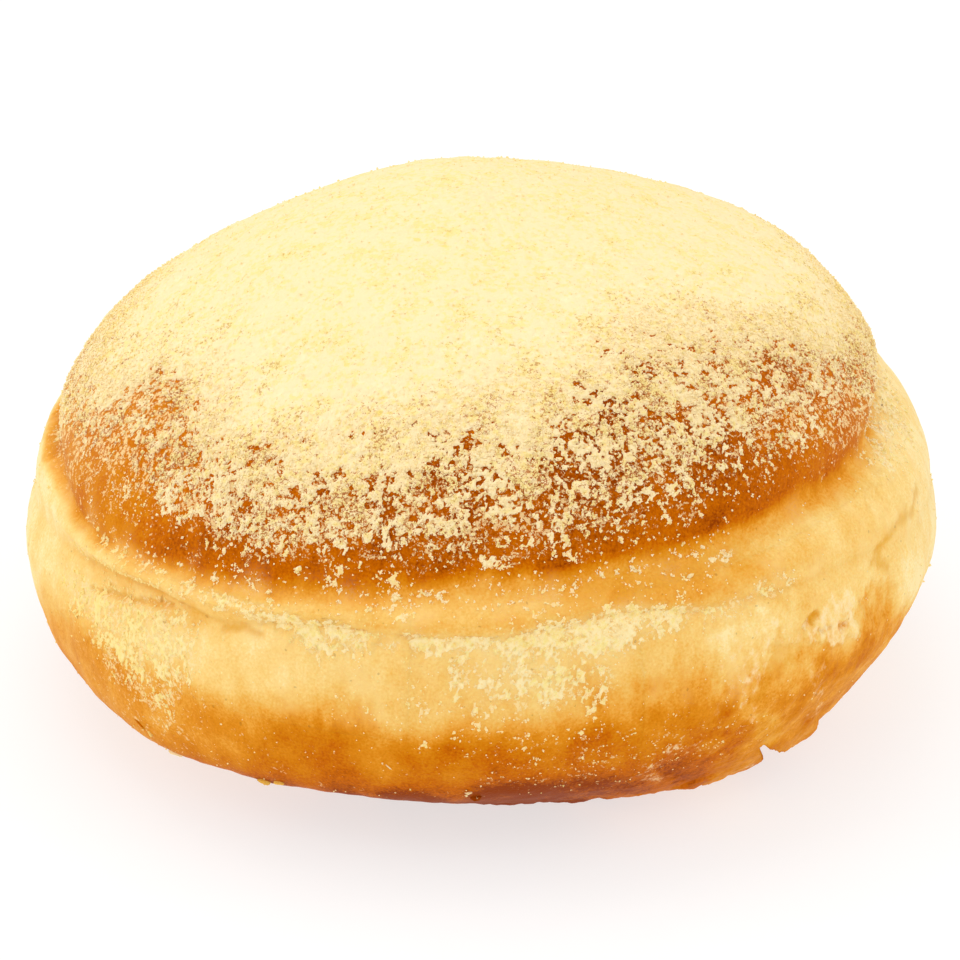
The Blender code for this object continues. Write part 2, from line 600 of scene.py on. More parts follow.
@dataclass(frozen=True)
class Noise:
    """One random pattern of a finish.

    The size is how far apart its hills are, in millimetres. It has some finer octaves of detail,
    each of which keeps the share rough of the height. It can be drawn out upright, and shift moves
    it, so that two of one size differ.
    """

    size: float
    detail: float = 2.0
    upright: float = 1.0
    shift: float = 0.0
    rough: float = 0.55


class Socket:
    """A value that varies over a surface, which can be used in expressions."""

    def __init__(self, shader: "Shader", output: bpy.types.NodeSocket) -> None:
        """Wraps one output of a node of this shader."""
        self.shader = shader
        self.output = output

    def maths(self, operation: str, *values: "Socket | float") -> "Socket":
        """One Math node on these values."""
        return self.shader.node("ShaderNodeMath", {"operation": operation}, dict(enumerate(values)))

    def __add__(self, other: "Socket | float") -> "Socket":
        """Adds a value."""
        return self.maths("ADD", self, other)

    def __radd__(self, other: "Socket | float") -> "Socket":
        """Adds to a value."""
        return self.maths("ADD", other, self)

    def __sub__(self, other: "Socket | float") -> "Socket":
        """Takes a value away."""
        return self.maths("SUBTRACT", self, other)

    def __rsub__(self, other: "Socket | float") -> "Socket":
        """Is taken away from a value."""
        return self.maths("SUBTRACT", other, self)

    def __mul__(self, other: "Socket | float") -> "Socket":
        """Multiplies by a value."""
        return self.maths("MULTIPLY", self, other)

    def __rmul__(self, other: "Socket | float") -> "Socket":
        """Multiplies a value."""
        return self.maths("MULTIPLY", other, self)

    def swing(self, reach: float) -> "Socket":
        """Swings round 0 with noise that goes from 0 to 1, over this reach in all."""
        return (self - 0.5) * reach

    def rising(self, low: float, high: float) -> "Socket":
        """Rises smoothly from 0 where this is at low to 1 where it is at high."""
        settings = {"interpolation_type": "SMOOTHSTEP"}
        return self.shader.node("ShaderNodeMapRange", settings, {"Value": self, 1: low, 2: high})


class Shader:
    """A material of one Principled shader and the nodes that feed it."""

    def __init__(self, name: str) -> None:
        """Starts an empty material.

        Args:
            name: the material's name.
        """
        self.material = bpy.data.materials.new(name)
        self.material.use_nodes = True
        self.tree = self.material.node_tree
        self.surface = self.tree.nodes["Principled BSDF"]

    def node(
        self,
        kind: str,
        settings: dict[str, object] | None = None,
        values: dict[str | int, object] | None = None,
        output: str | int = 0,
    ) -> Socket:
        """Adds one node.

        Args:
            kind: the node's type.
            settings: its own settings, set first; "stops" holds a ramp's places and colours.
            values: what its sockets hold, or the sockets that they are linked to.
            output: which output to hand back.

        Returns:
            The chosen output.
        """
        made = self.tree.nodes.new(kind)
        for name, setting in (settings or {}).items():
            if name == "stops":
                self.set_stops(made.color_ramp, setting)
            else:
                setattr(made, name, setting)
        for key, value in (values or {}).items():
            if isinstance(value, Socket):
                self.tree.links.new(value.output, made.inputs[key])
            else:
                made.inputs[key].default_value = value
        return Socket(self, made.outputs[output])

    @staticmethod
    def set_stops(ramp: bpy.types.ColorRamp, stops: Sequence[tuple[float, tuple]]) -> None:
        """Gives a colour ramp its stops.

        Args:
            ramp: the ramp.
            stops: places from 0 to 1 and their colours, in rising order.
        """
        while len(ramp.elements) < len(stops):
            ramp.elements.new(1.0)
        for element, (place, colour) in zip(ramp.elements, stops):
            element.position = place
            element.color = colour

    def painted(self, name: str) -> Socket:
        """A value that the mesh carries at its vertices."""
        return self.node("ShaderNodeAttribute", {"attribute_name": name}, output="Fac")

    def hills(self, noise: Noise) -> Socket:
        """Draws random noise over the surface.

        Args:
            noise: the pattern.

        Returns:
            The noise, from 0 to 1.
        """
        place = self.node("ShaderNodeTexCoord", output="Object")
        scale = 1.0 / (noise.size * MM)
        drawn = self.node(
            "ShaderNodeVectorMath",
            {"operation": "MULTIPLY_ADD"},
            {0: place, 1: (scale, scale, scale / noise.upright), 2: (noise.shift,) * 3},
        )
        values = {"Vector": drawn, "Scale": 1.0, "Detail": noise.detail, "Roughness": noise.rough}
        return self.node("ShaderNodeTexNoise", {"noise_dimensions": "3D"}, values)

    def mixed(self, share: Socket | float, under: object, over: object) -> Socket:
        """Lays one colour over another by a share from 0 to 1."""
        settings = {"data_type": "RGBA", "blend_type": "MIX"}
        return self.node("ShaderNodeMix", settings, {0: share, 6: under, 7: over}, output=2)

    def relief(self, height: Socket, depth: float) -> Socket:
        """The surface's normal, tipped as if it had this height times a depth in millimetres."""
        values = {"Height": height, "Distance": depth * MM, "Strength": 1.0}
        return self.node("ShaderNodeBump", None, values)

    def finish(self, varied: dict[str, Socket], plain: dict[str, object]) -> Material:
        """Feeds the Principled shader.

        Args:
            varied: what changes over the surface, by the shader's socket.
            plain: what is the same everywhere, by the shader's socket.

        Returns:
            The finished material.
        """
        for name, value in varied.items():
            self.tree.links.new(value.output, self.surface.inputs[name])
        for name, value in plain.items():
            self.surface.inputs[name].default_value = value
        return self.material


@dataclass(frozen=True)
class CrustFinish:
    """Fried dough, from pale and soft to dark brown, with fine specks of powder stuck to it."""

    toasting: tuple[tuple[float, Colour], ...] = (
        (0.00, (255, 231, 168)),
        (0.12, (252, 216, 138)),
        (0.24, (248, 203, 116)),
        (0.36, (242, 186, 90)),
        (0.48, (238, 166, 62)),
        (0.60, (226, 143, 28)),
        (0.72, (214, 127, 8)),
        (0.84, (202, 104, 0)),
        (0.94, (176, 84, 0)),
        (1.00, (146, 60, 0)),
    )
    # gold: partly the dough's own deep gold, partly painted shade in creases.
    gold: Colour = (226, 160, 30)
    skin: Colour = (255, 228, 174)
    dust: Colour = (255, 225, 162)
    pore: Colour = (130, 70, 20)
    gleam: Colour = (255, 196, 120)
    roughness: float = 0.50
    gloss: float = 0.04
    relief_depth: float = 0.15
    light_passed: float = 0.10
    light_reach: tuple[float, float, float] = (1.0, 0.45, 0.12)
    reach_scale: float = 1.4

    MOTTLE = Noise(2.6, detail=4.0)
    FIBRE = Noise(0.5, detail=3.0, upright=1.8)
    GRAIN = Noise(0.25)
    FLAKES = Noise(0.8, detail=4.0, upright=1.5, shift=13.9, rough=0.7)
    CLUMPS = Noise(0.42, detail=3.0, rough=0.75, shift=3.7)
    CLOUDS = Noise(1.5, detail=1.0, shift=8.1)
    PORES = Noise(0.5, detail=0.0, shift=5.3)
    WRINKLES = Noise(1.1, detail=4.0, upright=1.2, shift=1.9)

    def material(self) -> Material:
        """Makes the finish, which is fed by what the dough's mesh carries.

        Returns:
            The material.
        """
        shader = Shader("fried_dough")
        mottle, fibre, grain = (shader.hills(noise) for noise in (self.MOTTLE, self.FIBRE, self.GRAIN))
        browned = shader.painted("toast") + mottle.swing(0.18) + fibre.swing(0.16) + grain.swing(0.34)
        stops = [(place, seen(*colour)) for place, colour in self.toasting]
        colour = shader.node("ShaderNodeValToRGB", {"stops": stops}, {"Fac": browned})
        # Gold: the dough's deep gold, partly painted shade in creases and under lips.
        colour = shader.mixed(shader.painted("gold"), colour, seen(*self.gold))
        skin = shader.painted("skin")
        torn = (skin + shader.hills(self.FLAKES).swing(1.8)).rising(0.22, 0.85) * skin.rising(0.0, 0.2)
        colour = shader.mixed(torn, colour, seen(*self.skin))
        dust = shader.painted("dust")
        clumps = shader.hills(self.CLUMPS) * 0.75 + shader.hills(self.CLOUDS) * 0.25
        specks = (clumps + dust * 0.34).rising(0.66, 0.70)
        film = shader.painted("haze") * grain.rising(0.36, 0.60)
        colour = shader.mixed(specks * (dust * 0.5 + 0.5) + film, colour, seen(*self.dust))
        pores = shader.hills(self.PORES).rising(0.82, 0.86)
        colour = shader.mixed(pores * 0.3, colour, seen(*self.pore))
        height = shader.hills(self.WRINKLES) * 0.6 + grain * 0.35 + specks * 0.08
        varied = {
            "Base Color": colour,
            "Roughness": self.roughness + mottle.swing(0.2) + specks * 0.3,
            "Normal": shader.relief(height, self.relief_depth),
        }
        plain = {
            "Specular IOR Level": self.gloss,
            "Specular Tint": seen(*self.gleam),
            "Subsurface Weight": self.light_passed,
            "Subsurface Radius": self.light_reach,
            "Subsurface Scale": self.reach_scale * MM,
        }
        return shader.finish(varied, plain)


@dataclass(frozen=True)
class PowderFinish:
    """Fine pale yellow powder: creamy where it is thin, yellower in thick heaps, with painted shade in its
    hollows, between its puffs and in small pits.
    """

    thin: Colour = (255, 238, 192)
    thick: Colour = (253, 232, 181)
    damp: Colour = (255, 230, 150)
    gold: Colour = (250, 220, 112)
    shade: Colour = (255, 206, 124)
    # mottle: partly the powder's own patchy tone, partly painted shade between its puffs.
    mottle: Colour = (249, 226, 132)
    # pit: painted shade in small pits of dense powder.
    pit: Colour = (210, 170, 64)
    damp_pit: Colour = (250, 206, 112)
    bare: Colour = (184, 90, 16)
    roughness: float = 0.88
    gloss: float = 0.05
    relief_depth: float = 0.08

    GRAIN = Noise(0.3, detail=3.0)
    DRIFTS = Noise(3.4, detail=3.0, shift=2.2)
    FLECKS = Noise(0.3, detail=2.0, rough=0.8, shift=9.4)
    SPOTS = Noise(1.2, detail=1.0, shift=6.1)
    BROAD = Noise(3.6, detail=2.0, shift=3.3)
    MOTTLES = Noise(0.6, detail=2.0, rough=0.6, shift=4.9)
    PITS = Noise(0.4, detail=3.0, rough=0.8, shift=8.1)

    def material(self) -> Material:
        """Makes the finish, which is fed by what the powder's mesh carries.

        Returns:
            The material.
        """
        shader = Shader("sifted_powder")
        heap, hollow, damp, opened = (shader.painted(name) for name in ("heap", "hollow", "damp", "open"))
        grain = shader.hills(self.GRAIN)
        soaked = damp.rising(0.05, 0.3)
        thickness = heap + shader.hills(self.DRIFTS).swing(0.8) - damp * 0.3
        colour = shader.mixed(thickness.rising(0.1, 0.8), seen(*self.thin), seen(*self.thick))
        colour = shader.mixed(damp, colour, seen(*self.damp))
        flecks = shader.hills(self.FLECKS).rising(0.5, 0.68) * soaked * 0.6
        colour = shader.mixed(flecks, colour, seen(*self.damp_pit))
        spots = shader.hills(self.SPOTS).rising(0.72, 0.78)
        colour = shader.mixed(spots * 0.6, colour, seen(*self.gold))
        # Painted shade: a warm shade colour laid into low powder and the gaps between grains, less in damp
        # powder.
        shaded = (hollow - grain.swing(0.4)).rising(0.1, 1.0) * (0.8 - damp * 0.5)
        colour = shader.mixed(shaded, colour, seen(*self.shade))
        broad = shader.hills(self.BROAD) * 0.5
        # Gold mottles: partly the powder's own patchy tone, partly painted shade between its puffs.
        mottled = (shader.hills(self.MOTTLES) + broad).rising(0.68, 0.92)
        colour = shader.mixed(mottled * 0.6, colour, seen(*self.mottle))
        # Pits: crust seen through where the powder lies open; in dense powder, painted shade in small pits.
        dry_pit = shader.mixed(opened.rising(0.15, 0.6), seen(*self.pit), seen(*self.bare))
        pit = shader.mixed(soaked, dry_pit, seen(*self.damp_pit))
        depth = shader.hills(self.PITS) + broad
        pitted = (depth + opened * 0.13).rising(0.90, 0.98) * (opened * 0.35 + 0.5)
        varied = {
            "Base Color": shader.mixed(pitted, colour, pit),
            "Roughness": self.roughness + grain.swing(0.2),
            "Normal": shader.relief(grain, self.relief_depth),
        }
        return shader.finish(varied, {"Specular IOR Level": self.gloss})


@dataclass(frozen=True)
class FloorFinish:
    """A matt white sweep that glows a little, so that shadows on it stay faint."""

    colour: Colour = (160, 160, 160)
    fibre: Colour = (255, 255, 255)
    unevenness: float = 0.02
    roughness: float = 0.9
    gloss: float = 0.1
    glow: float = 0.66

    FIBRES = Noise(6.0, detail=4.0)

    def material(self) -> Material:
        """Makes the finish.

        Returns:
            The material.
        """
        shader = Shader("white_floor")
        fibres = shader.hills(self.FIBRES) * self.unevenness
        colour = shader.mixed(fibres, seen(*self.colour), seen(*self.fibre))
        plain = {
            "Roughness": self.roughness,
            "Specular IOR Level": self.gloss,
            "Emission Color": WHITE,
            "Emission Strength": self.glow,
        }
        return shader.finish({"Base Color": colour}, plain)


# Mesh making -------------------------------------------------------------------------------


def crossed(first: Array, second: Array) -> tuple[Array, Array]:
    """Every pair of a value from one list and a value from another, as two flat arrays."""
    return tuple(values.ravel() for values in np.meshgrid(first, second, indexing="ij"))


def grid_faces(rows: int, columns: int) -> Array:
    """The four-sided faces of a grid of points that is numbered row by row."""
    corner = (np.arange(rows - 1)[:, None] * columns + np.arange(columns - 1)).ravel()
    return np.stack([corner, corner + columns, corner + columns + 1, corner + 1], axis=1)


def spread(fine: Array, spacing: Array, with_end: bool) -> Array:
    """Picks values this far apart from finely stepped ones, with or without the last."""
    passed = np.concatenate([[0.0], np.cumsum(np.diff(fine) / spacing[1:])])
    return np.interp(np.linspace(0.0, passed[-1], int(passed[-1]), endpoint=with_end), passed, fine)


@dataclass
class Sheet:
    """A mesh in the making: its points, faces, painted values and bake map."""

    points: Array
    faces: list[Array]
    painted: dict[str, Array] = field(default_factory=dict)
    corners: Array | None = None
    smooth: bool = True

    def build(self, name: str, material: Material, slot: Slot) -> Piece:
        """Makes the mesh and its object, which rides on the bun.

        Args:
            name: the piece's name.
            material: its material.
            slot: not used.

        Returns:
            The new piece.
        """
        mesh = bpy.data.meshes.new(name)
        listed = [face for block in self.faces for face in block.tolist()]
        mesh.from_pydata((self.points * MM).tolist(), [], listed)
        mesh.polygons.foreach_set("use_smooth", np.full(len(mesh.polygons), self.smooth))
        for label, values in self.painted.items():
            layer = mesh.attributes.new(label, "FLOAT", "POINT")
            layer.data.foreach_set("value", values.astype(np.float32))
        if self.corners is not None:
            layer = mesh.uv_layers.new(name=BAKE_MAP)
            layer.data.foreach_set("uv", self.corners.astype(np.float32).ravel())
        mesh.materials.append(material)
        mesh.update()
        piece = bpy.data.objects.new(name, mesh)
        bpy.context.scene.collection.objects.link(piece)
        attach(piece, BODY)
        return piece


# The dough ---------------------------------------------------------------------------------


# Marks on the dough. Gold along sunk strokes and pockets is partly painted shade in creases and under lips.
LEFT_FOLD = (
    Mark(
        Patch(
            ((-169.5, 40.2), (-171.5, 38.0), (-182, 38.6), (-192, 39.8), (-206, 41.8), (-192, 43),
             (-176, 42.6)),
            ragged=0.4,
        ),
        soft=1.1, toast=0.34, gold=0.20,
    ),
    Mark(
        Patch(
            ((-149, 32.3), (-142, 32.6), (-136, 33.2), (-132, 32.0), (-137, 31.1), (-143, 30.3),
             (-148, 30.6)),
            ragged=0.1,
        ),
        soft=0.6, lift=-0.4, toast=0.03, gold=0.08,
    ),
    Mark(
        Patch(((-134, 32.4), (-128, 32.2), (-124.5, 31.2), (-129, 30.2), (-133, 30.4)), ragged=0.1),
        soft=0.8, lift=-0.3, toast=0.08, gold=0.20,
    ),
    Mark(
        Stroke(((-147, 29.9), (-142, 30.4), (-137, 31.1), (-132, 31.9)), ragged=0.1),
        soft=0.32, lift=-0.4, gold=0.65,
    ),
    Mark(Stroke(((-123, 31.4), (-120.5, 31.9), (-118, 31.7)), ragged=0.1), soft=0.45, lift=-0.3, gold=0.6),
)
RIGHT_RING = (
    Mark(
        Stroke(((-17, 33.8), (-21, 33.2), (-25, 33.4), (-29, 33.0), (-31.5, 32.2), (-34, 31.9)), ragged=0.25),
        soft=0.45, lift=-0.12, gold=0.55,
    ),
    Mark(Stroke(((-31.5, 32.2), (-32, 31.4), (-30.4, 30.7)), ragged=0.2), soft=0.4, lift=-0.12, gold=0.55),
    Mark(
        Stroke(((-6, 40.5), (-9, 39.5), (-17, 39.2), (-25, 38.0), (-30, 37.2)), ragged=1.1),
        soft=0.55, lift=-0.10, gold=0.28,
    ),
    Mark(Stroke(((-3, 38.5), (-9, 37.6), (-15, 37.8)), ragged=0.9), soft=0.5, lift=-0.08, gold=0.25),
)
TORN_SIDE = (
    Mark(
        Patch(((-82, 39.6), (-62, 40.2), (-52, 39.4), (-55, 37.2), (-66, 37.0), (-78, 37.8)), ragged=0.9),
        soft=1.3, gold=0.32,
    ),
    Mark(
        Patch(
            ((-37.5, 29.9), (-35, 30.2), (-31.5, 29.9), (-29.2, 30.2), (-28.8, 29.0), (-29.8, 28.1),
             (-30.5, 27.0), (-32.5, 27.2), (-34.5, 27.9), (-36, 28.5)),
            ragged=0.3,
        ),
        soft=0.45, lift=-0.35, toast=0.15,
    ),
    Mark(
        Patch(
            ((-48.5, 29.7), (-47, 30.3), (-44, 30.9), (-42.3, 31.2), (-42.3, 30.3), (-41, 30.7),
             (-38.5, 30.3), (-38.8, 29.4), (-39.6, 28.8), (-38.6, 28.3), (-38.4, 27.6), (-40.0, 27.6),
             (-42.2, 27.2), (-44.2, 27.6), (-44.6, 28.4), (-47.8, 28.8)),
            ragged=0.35,
        ),
        soft=0.26, lift=0.35, hinge=31.5, toast=-0.04, skin=0.50,
    ),
    Mark(
        Patch(((-39, 29.4), (-37, 30), (-34, 28.8), (-34, 26.8), (-36, 26.4), (-38.5, 27.4)), ragged=0.5),
        soft=0.7, toast=0.10,
    ),
    Mark(
        Patch(((-52.5, 29.6), (-51, 30.2), (-48.5, 29.3), (-49.5, 28.7), (-51.2, 29.0)), ragged=0.25),
        soft=0.2, lift=0.3, skin=0.35,
    ),
    Mark(
        Stroke(((-48.2, 29.8), (-47, 30.2), (-45.6, 30.6)), ragged=0.15),
        soft=0.22, lift=-0.45, toast=0.2, gold=0.7,
    ),
    Mark(Stroke(((-46, 29.4), (-43.6, 29.2)), ragged=0.15), soft=0.14, lift=-0.3, toast=0.25, gold=0.3),
    Mark(Stroke(((-42, 28.9), (-40.7, 28.8)), ragged=0.15), soft=0.24, lift=-0.5, toast=0.4, gold=0.4),
    Mark(
        Patch(
            ((-28.5, 30.9), (-25, 30.9), (-20, 29.7), (-17.5, 28.1), (-19.5, 26.9), (-23.5, 26.4),
             (-27.5, 26.5), (-29, 28)),
            ragged=0.4,
        ),
        soft=0.8, lift=0.25, toast=-0.08, skin=0.12,
    ),
    Mark(
        Patch(((-51, 30.2), (-50, 29.0), (-53, 27.2), (-55.5, 25.2), (-57, 25.6), (-54.5, 28.6)), ragged=0.5),
        soft=0.7, lift=-0.15, toast=0.10, gold=0.18,
    ),
    Mark(
        Patch(
            ((-62, 31.4), (-55, 32.2), (-50, 31.8), (-51, 30.2), (-54, 28.6), (-57, 26.0), (-61, 26.4)),
            ragged=0.7,
        ),
        soft=1.4, lift=0.12, toast=-0.14, skin=0.20,
    ),
    Mark(
        Patch(
            ((-58.5, 29.5), (-57, 30.8), (-52.5, 31.1), (-52, 30.2), (-54, 28.2), (-55.5, 27.0), (-58, 27)),
            ragged=0.6,
        ),
        soft=1.0, skin=0.34,
    ),
    Mark(
        Patch(
            ((-47.3, 27.2), (-44.3, 26.7), (-43.6, 23.4), (-39.8, 17.6), (-43.5, 19), (-46.4, 23.8)),
            ragged=0.5,
        ),
        soft=0.5, toast=-0.06, skin=0.26,
    ),
    Mark(
        Patch(
            ((-55, 23.9), (-52.5, 23.4), (-49.5, 21.3), (-47.5, 17.6), (-51, 17.0), (-54.3, 21)),
            ragged=0.3,
        ),
        soft=0.5, toast=-0.12, gold=0.20,
    ),
    Mark(
        Patch(((-58.5, 26.2), (-56.5, 26.2), (-54.5, 24.1), (-54.5, 22.3), (-57.5, 23.7)), ragged=0.4),
        soft=0.5, toast=-0.14, skin=0.34,
    ),
    Mark(
        Patch(
            ((-67.3, 19.2), (-66, 21.2), (-62.5, 21.4), (-58.5, 17.6), (-56, 11.5), (-62, 13.6)),
            ragged=0.5,
        ),
        soft=0.6, lift=-0.12, toast=0.05,
    ),
    Mark(
        Stroke(((-71, 18.2), (-69, 19.8), (-68, 21), (-66.3, 22.3), (-62.5, 22.6)), ragged=0.4),
        soft=0.26, lift=0.10, skin=0.42,
    ),
    Mark(
        Patch(((-69.2, 19), (-67.2, 19), (-65.5, 16.5), (-66, 14.6), (-68.6, 16.5)), ragged=0.4),
        soft=0.35, toast=-0.08, skin=0.38,
    ),
    Mark(
        Patch(
            ((-55, 21), (-43, 19.5), (-38, 15.5), (-36.6, 13.4), (-38.5, 12.8), (-44.5, 13.8), (-51.5, 17.5)),
            ragged=0.12,
        ),
        soft=0.22, lift=0.7, hinge=18.0,
    ),
    Mark(
        Patch(
            ((-51, 17.3), (-44.5, 13.8), (-38.5, 13.0), (-36, 14.2), (-34, 4), (-43, 4), (-43.8, 10.8),
             (-48.5, 14.8)),
            ragged=0.1,
        ),
        soft=0.25, lift=-3.2, toast=0.10,
    ),
    Mark(Patch(((-37, 14.5), (-26, 17), (-22, 5), (-37, 4)), ragged=0.2), soft=0.9, lift=-1.3),
    Mark(
        Patch(((-62, 12), (-52, 14.5), (-48.5, 13.8), (-44.2, 11.2), (-44.4, 9.2), (-54, 9.6)), ragged=0.2),
        soft=0.3, lift=0.5, hinge=14.5,
    ),
    Mark(Stroke(((-52, 12.4), (-48.5, 12.4), (-44.6, 10.8)), ragged=0.4), soft=0.4, skin=0.5),
    Mark(Stroke(((-43, 14.2), (-39.5, 13.4), (-37, 13.0)), ragged=0.4), soft=0.4, skin=0.45),
)


@dataclass
class Dough:
    """The bun of fried dough: a browned crown, a pale collar, the fold under it and a browned belly."""

    outline: Outline = field(default_factory=lambda: Outline(STATIONS))
    front_column: float = 0.50
    back_column: float = 0.70
    fold_row: float = 0.30
    wide_row: float = 0.62
    hidden_row: float = 1.1
    fine: float = 0.2
    sunk: float = 0.9
    powder_bed: float = 0.55
    marks: tuple[Mark, ...] = (*LEFT_FOLD, *RIGHT_RING, *TORN_SIDE)
    windows: tuple[Window, ...] = (
        Window("bun_fold", azimuth=-128.0, run=31.0, half_length=23.0, half_height=6.5),
        Window("bun_tear", azimuth=-47.0, run=22.0, half_length=19.0, half_height=16.5),
    )

    crumple: Patch = Patch(
        ((-62, 32.5), (-44, 31.5), (-34, 30.5), (-26, 31), (-25, 25), (-32, 19), (-40, 11), (-56, 11),
         (-62, 20)),
        ragged=0.5,
    )
    swell: RoundLine = RoundLine(
        ((-170, 0.0), (-150, 0.15), (-136, 0.6), (-122, 0.3), (-112, -0.25), (-98, -0.5), (-78, -0.6),
         (-62, 0.1), (-50, 0.5), (-38, 0.6), (-24, 0.4), (-8, 0.0), (90, 0.0)),
        blur=5.0,
    )
    fold: RoundLine = RoundLine(
        ((-175, 31.0), (-160, 31.6), (-148, 32.3), (-134, 33.0), (-124, 31.7), (-112, 33.7), (-104, 34.4),
         (-98, 33.4), (-86, 33.7), (-73, 36.0), (-63, 34.0), (-52, 33.3), (-38, 33.0), (-23, 31.8),
         (0, 31.5), (40, 32.6), (75, 33.4), (110, 32.2), (150, 32.8)),
        blur=2.0,
    )
    fold_depth: RoundLine = RoundLine(
        ((-172, 0.1), (-155, 0.2), (-147, 0.7), (-134, 0.85), (-127, 0.7), (-118, 0.35), (-104, 0.25),
         (-88, 0.2), (-72, 0.25), (-60, 0.3), (-48, 0.35), (-36, 0.3), (-26, 0.15), (-12, 0.2), (25, 0.4),
         (75, 0.8), (120, 0.5), (155, 0.8)),
    )
    lip: RoundLine = RoundLine(
        ((-172, 0.2), (-153, 0.3), (-142, 0.65), (-134, 0.65), (-126, 0.5), (-112, 0.25), (-80, 0.2),
         (-60, 0.3), (-35, 0.3), (-10, 0.2), (60, 0.35), (130, 0.3)),
    )
    waist_depth: RoundLine = RoundLine(
        ((-170, 1.2), (-152, 0.6), (-120, 0.25), (-60, 0.25), (-25, 0.6), (-5, 1.1), (60, 0.6), (130, 0.6)),
    )
    crown_edge: RoundLine = RoundLine(
        ((-170, 41.0), (-160, 39.7), (-151, 37.9), (-142, 38.5), (-120, 39.0), (-107, 40.2), (-90, 40.9),
         (-46, 40.9), (-24, 40.4), (-14, 41.6), (-6, 43.0), (20, 42.0), (60, 40.5), (100, 41.5),
         (150, 41.0)),
    )
    belly_edge: RoundLine = RoundLine(
        ((-170, 23.5), (-158, 27.2), (-146, 27.4), (-138, 26.8), (-129, 26.4), (-120, 26.6), (-108, 27.6),
         (-98, 27.2), (-90, 27.6), (-84, 28.4), (-72, 29.4), (-60, 28.6), (-50, 29.0), (-35, 28.2),
         (-24, 26.0), (-12, 24.0), (0, 23.0), (60, 25.0), (120, 23.5), (160, 23.0)),
    )
    crown_toast: RoundLine = RoundLine(
        ((-170, 0.68), (-150, 0.75), (-136, 0.79), (-120, 0.85), (-100, 0.90), (-46, 0.86), (-28, 0.80),
         (-10, 0.72), (90, 0.76)),
        blur=9.0,
    )
    ring_toast: RoundLine = RoundLine(
        ((-165, 0.06), (-154, 0.15), (-136, 0.24), (-118, 0.30), (-90, 0.32), (-73, 0.50), (-64, 0.51),
         (-55, 0.38), (-46, 0.26), (-28, 0.18), (-10, 0.05), (90, 0.15)),
        blur=5.0,
    )
    lip_toast: RoundLine = RoundLine(
        ((-165, 0.08), (-150, 0.18), (-136, 0.22), (-118, 0.14), (-100, 0.22), (-82, 0.20), (-64, 0.26),
         (-46, 0.24), (-28, 0.16), (-10, 0.05), (90, 0.15)),
        blur=5.0,
    )
    belly_toast: RoundLine = RoundLine(
        ((-165, 0.46), (-146, 0.52), (-136, 0.58), (-118, 0.70), (-100, 0.77), (-80, 0.79), (-64, 0.74),
         (-46, 0.64), (-28, 0.58), (-5, 0.48), (90, 0.66)),
        blur=7.0,
    )
    # Darker near the foot: partly browning, partly painted shade under the bun, most at the front.
    rim_toast: RoundLine = RoundLine(
        ((-150, 0.12), (-125, 0.16), (-105, 0.24), (-80, 0.24), (-66, 0.12), (-50, 0.06), (-20, 0.1),
         (90, 0.2)),
        blur=5.0,
    )

    # The form, in millimetres. A pair of numbers is where something begins and where it is complete.
    GROOVE_ABOVE, GROOVE_BELOW = 0.55, 0.95
    LIP_BAND = Band(2.4, fade=1.7)
    WAIST_BAND = Band(-0.6, fade=1.3)
    SWELL_BAND = Band(15.0, fade=7.0)
    CRUMPLED = Hills(1.5, 10, octaves=3, keep=0.6, height=0.05)
    CRUMPLE_EDGE = 1.5
    BROAD_DENTS = Hills(16.0, 5, height=0.16)
    SIDE_DENTS = Hills(6.0, 6, height=0.07)
    WRINKLES = Hills(2.2, 8, octaves=2)
    WRINKLE_HEIGHT, WRINKLE_LEAST = 0.030, 0.4
    WRINKLED_RUNS = (44.0, 34.0)
    ROUGH_KEEL = Hills(1.5, 9, octaves=2, height=0.15)
    ROUGH_RUNS = (14.0, 8.0)
    CALM_FOOT = 6.0

    # The browning, as shares from pale to nearly burnt, and where one shade gives way to another.
    BROAD_WANDER = Hills(9.0, 21, octaves=2, height=0.9)
    FINE_WANDER = Hills(1.8, 22, octaves=3, keep=0.6, height=0.4)
    CROWN_WANDER = 0.5
    CROWN_CLOUDS = Hills(7.0, 23, height=0.04)
    BELLY_CLOUDS = Hills(6.0, 24, octaves=2, height=0.06)
    RING_CLOUDS = Hills(3.0, 25, octaves=3, height=0.05)
    CRUMPLE_CLOUDS = Hills(1.6, 27, octaves=3, keep=0.7, height=0.05)
    HALO_TOAST, POWDERED_TOAST = 0.5, 0.05
    RING_FADE = (-1.0, 1.6)
    HALO_FADE = (-2.8, -0.4)
    CROWN_FADE = (-0.8, 1.1)
    BELLY_FADE = (-1.8, 4.6)
    POWDERED_SHARES, POWDERED_FADE = (0.05, 0.55), (0.0, 3.0)
    # Where the darkening near the foot, partly painted shade, sets in.
    RIM_RUNS = (22.0, 17.0)
    RING_RUNS = (46.0, 40.0)

    # Deep gold along the fold, partly the dough's own tone and partly painted shade in its crease, and
    # stretched skin over the torn side.
    DAMP_FOLD, DAMP_DEPTH, DAMP_HALF_WIDTH = 0.7, 1.4, 0.5
    STREAKS = Hills(2.6, 26, octaves=3)
    STREAKED = Area(-62.0, 24.0, turn_fade=26.0, run_fade=7.0)
    STREAK_FADE, STREAK_SKIN = (0.7, 2.0), 0.35

    # How closely the vertices are set, and the coarser grid that finds the outline's axis.
    AXIS_ROWS, AXIS_COLUMNS = 160, 240
    FINE_STEPS = 4000
    FOLD_ROWS = Band(32.5, fade=6.0)
    HIDDEN_RUNS = (58.0, 66.0)
    FRONT_TURNS = (120.0, 70.0)
    FOOT_RINGS, FOOT_SHARES = 14, (0.9, 0.05)

    # The bake map: two strips for the side, from one run to another, and two discs under them.
    MAP_RUNS = (4.0, 46.0)
    MAP_MARGIN = 0.008
    MAP_STRIP = 0.25

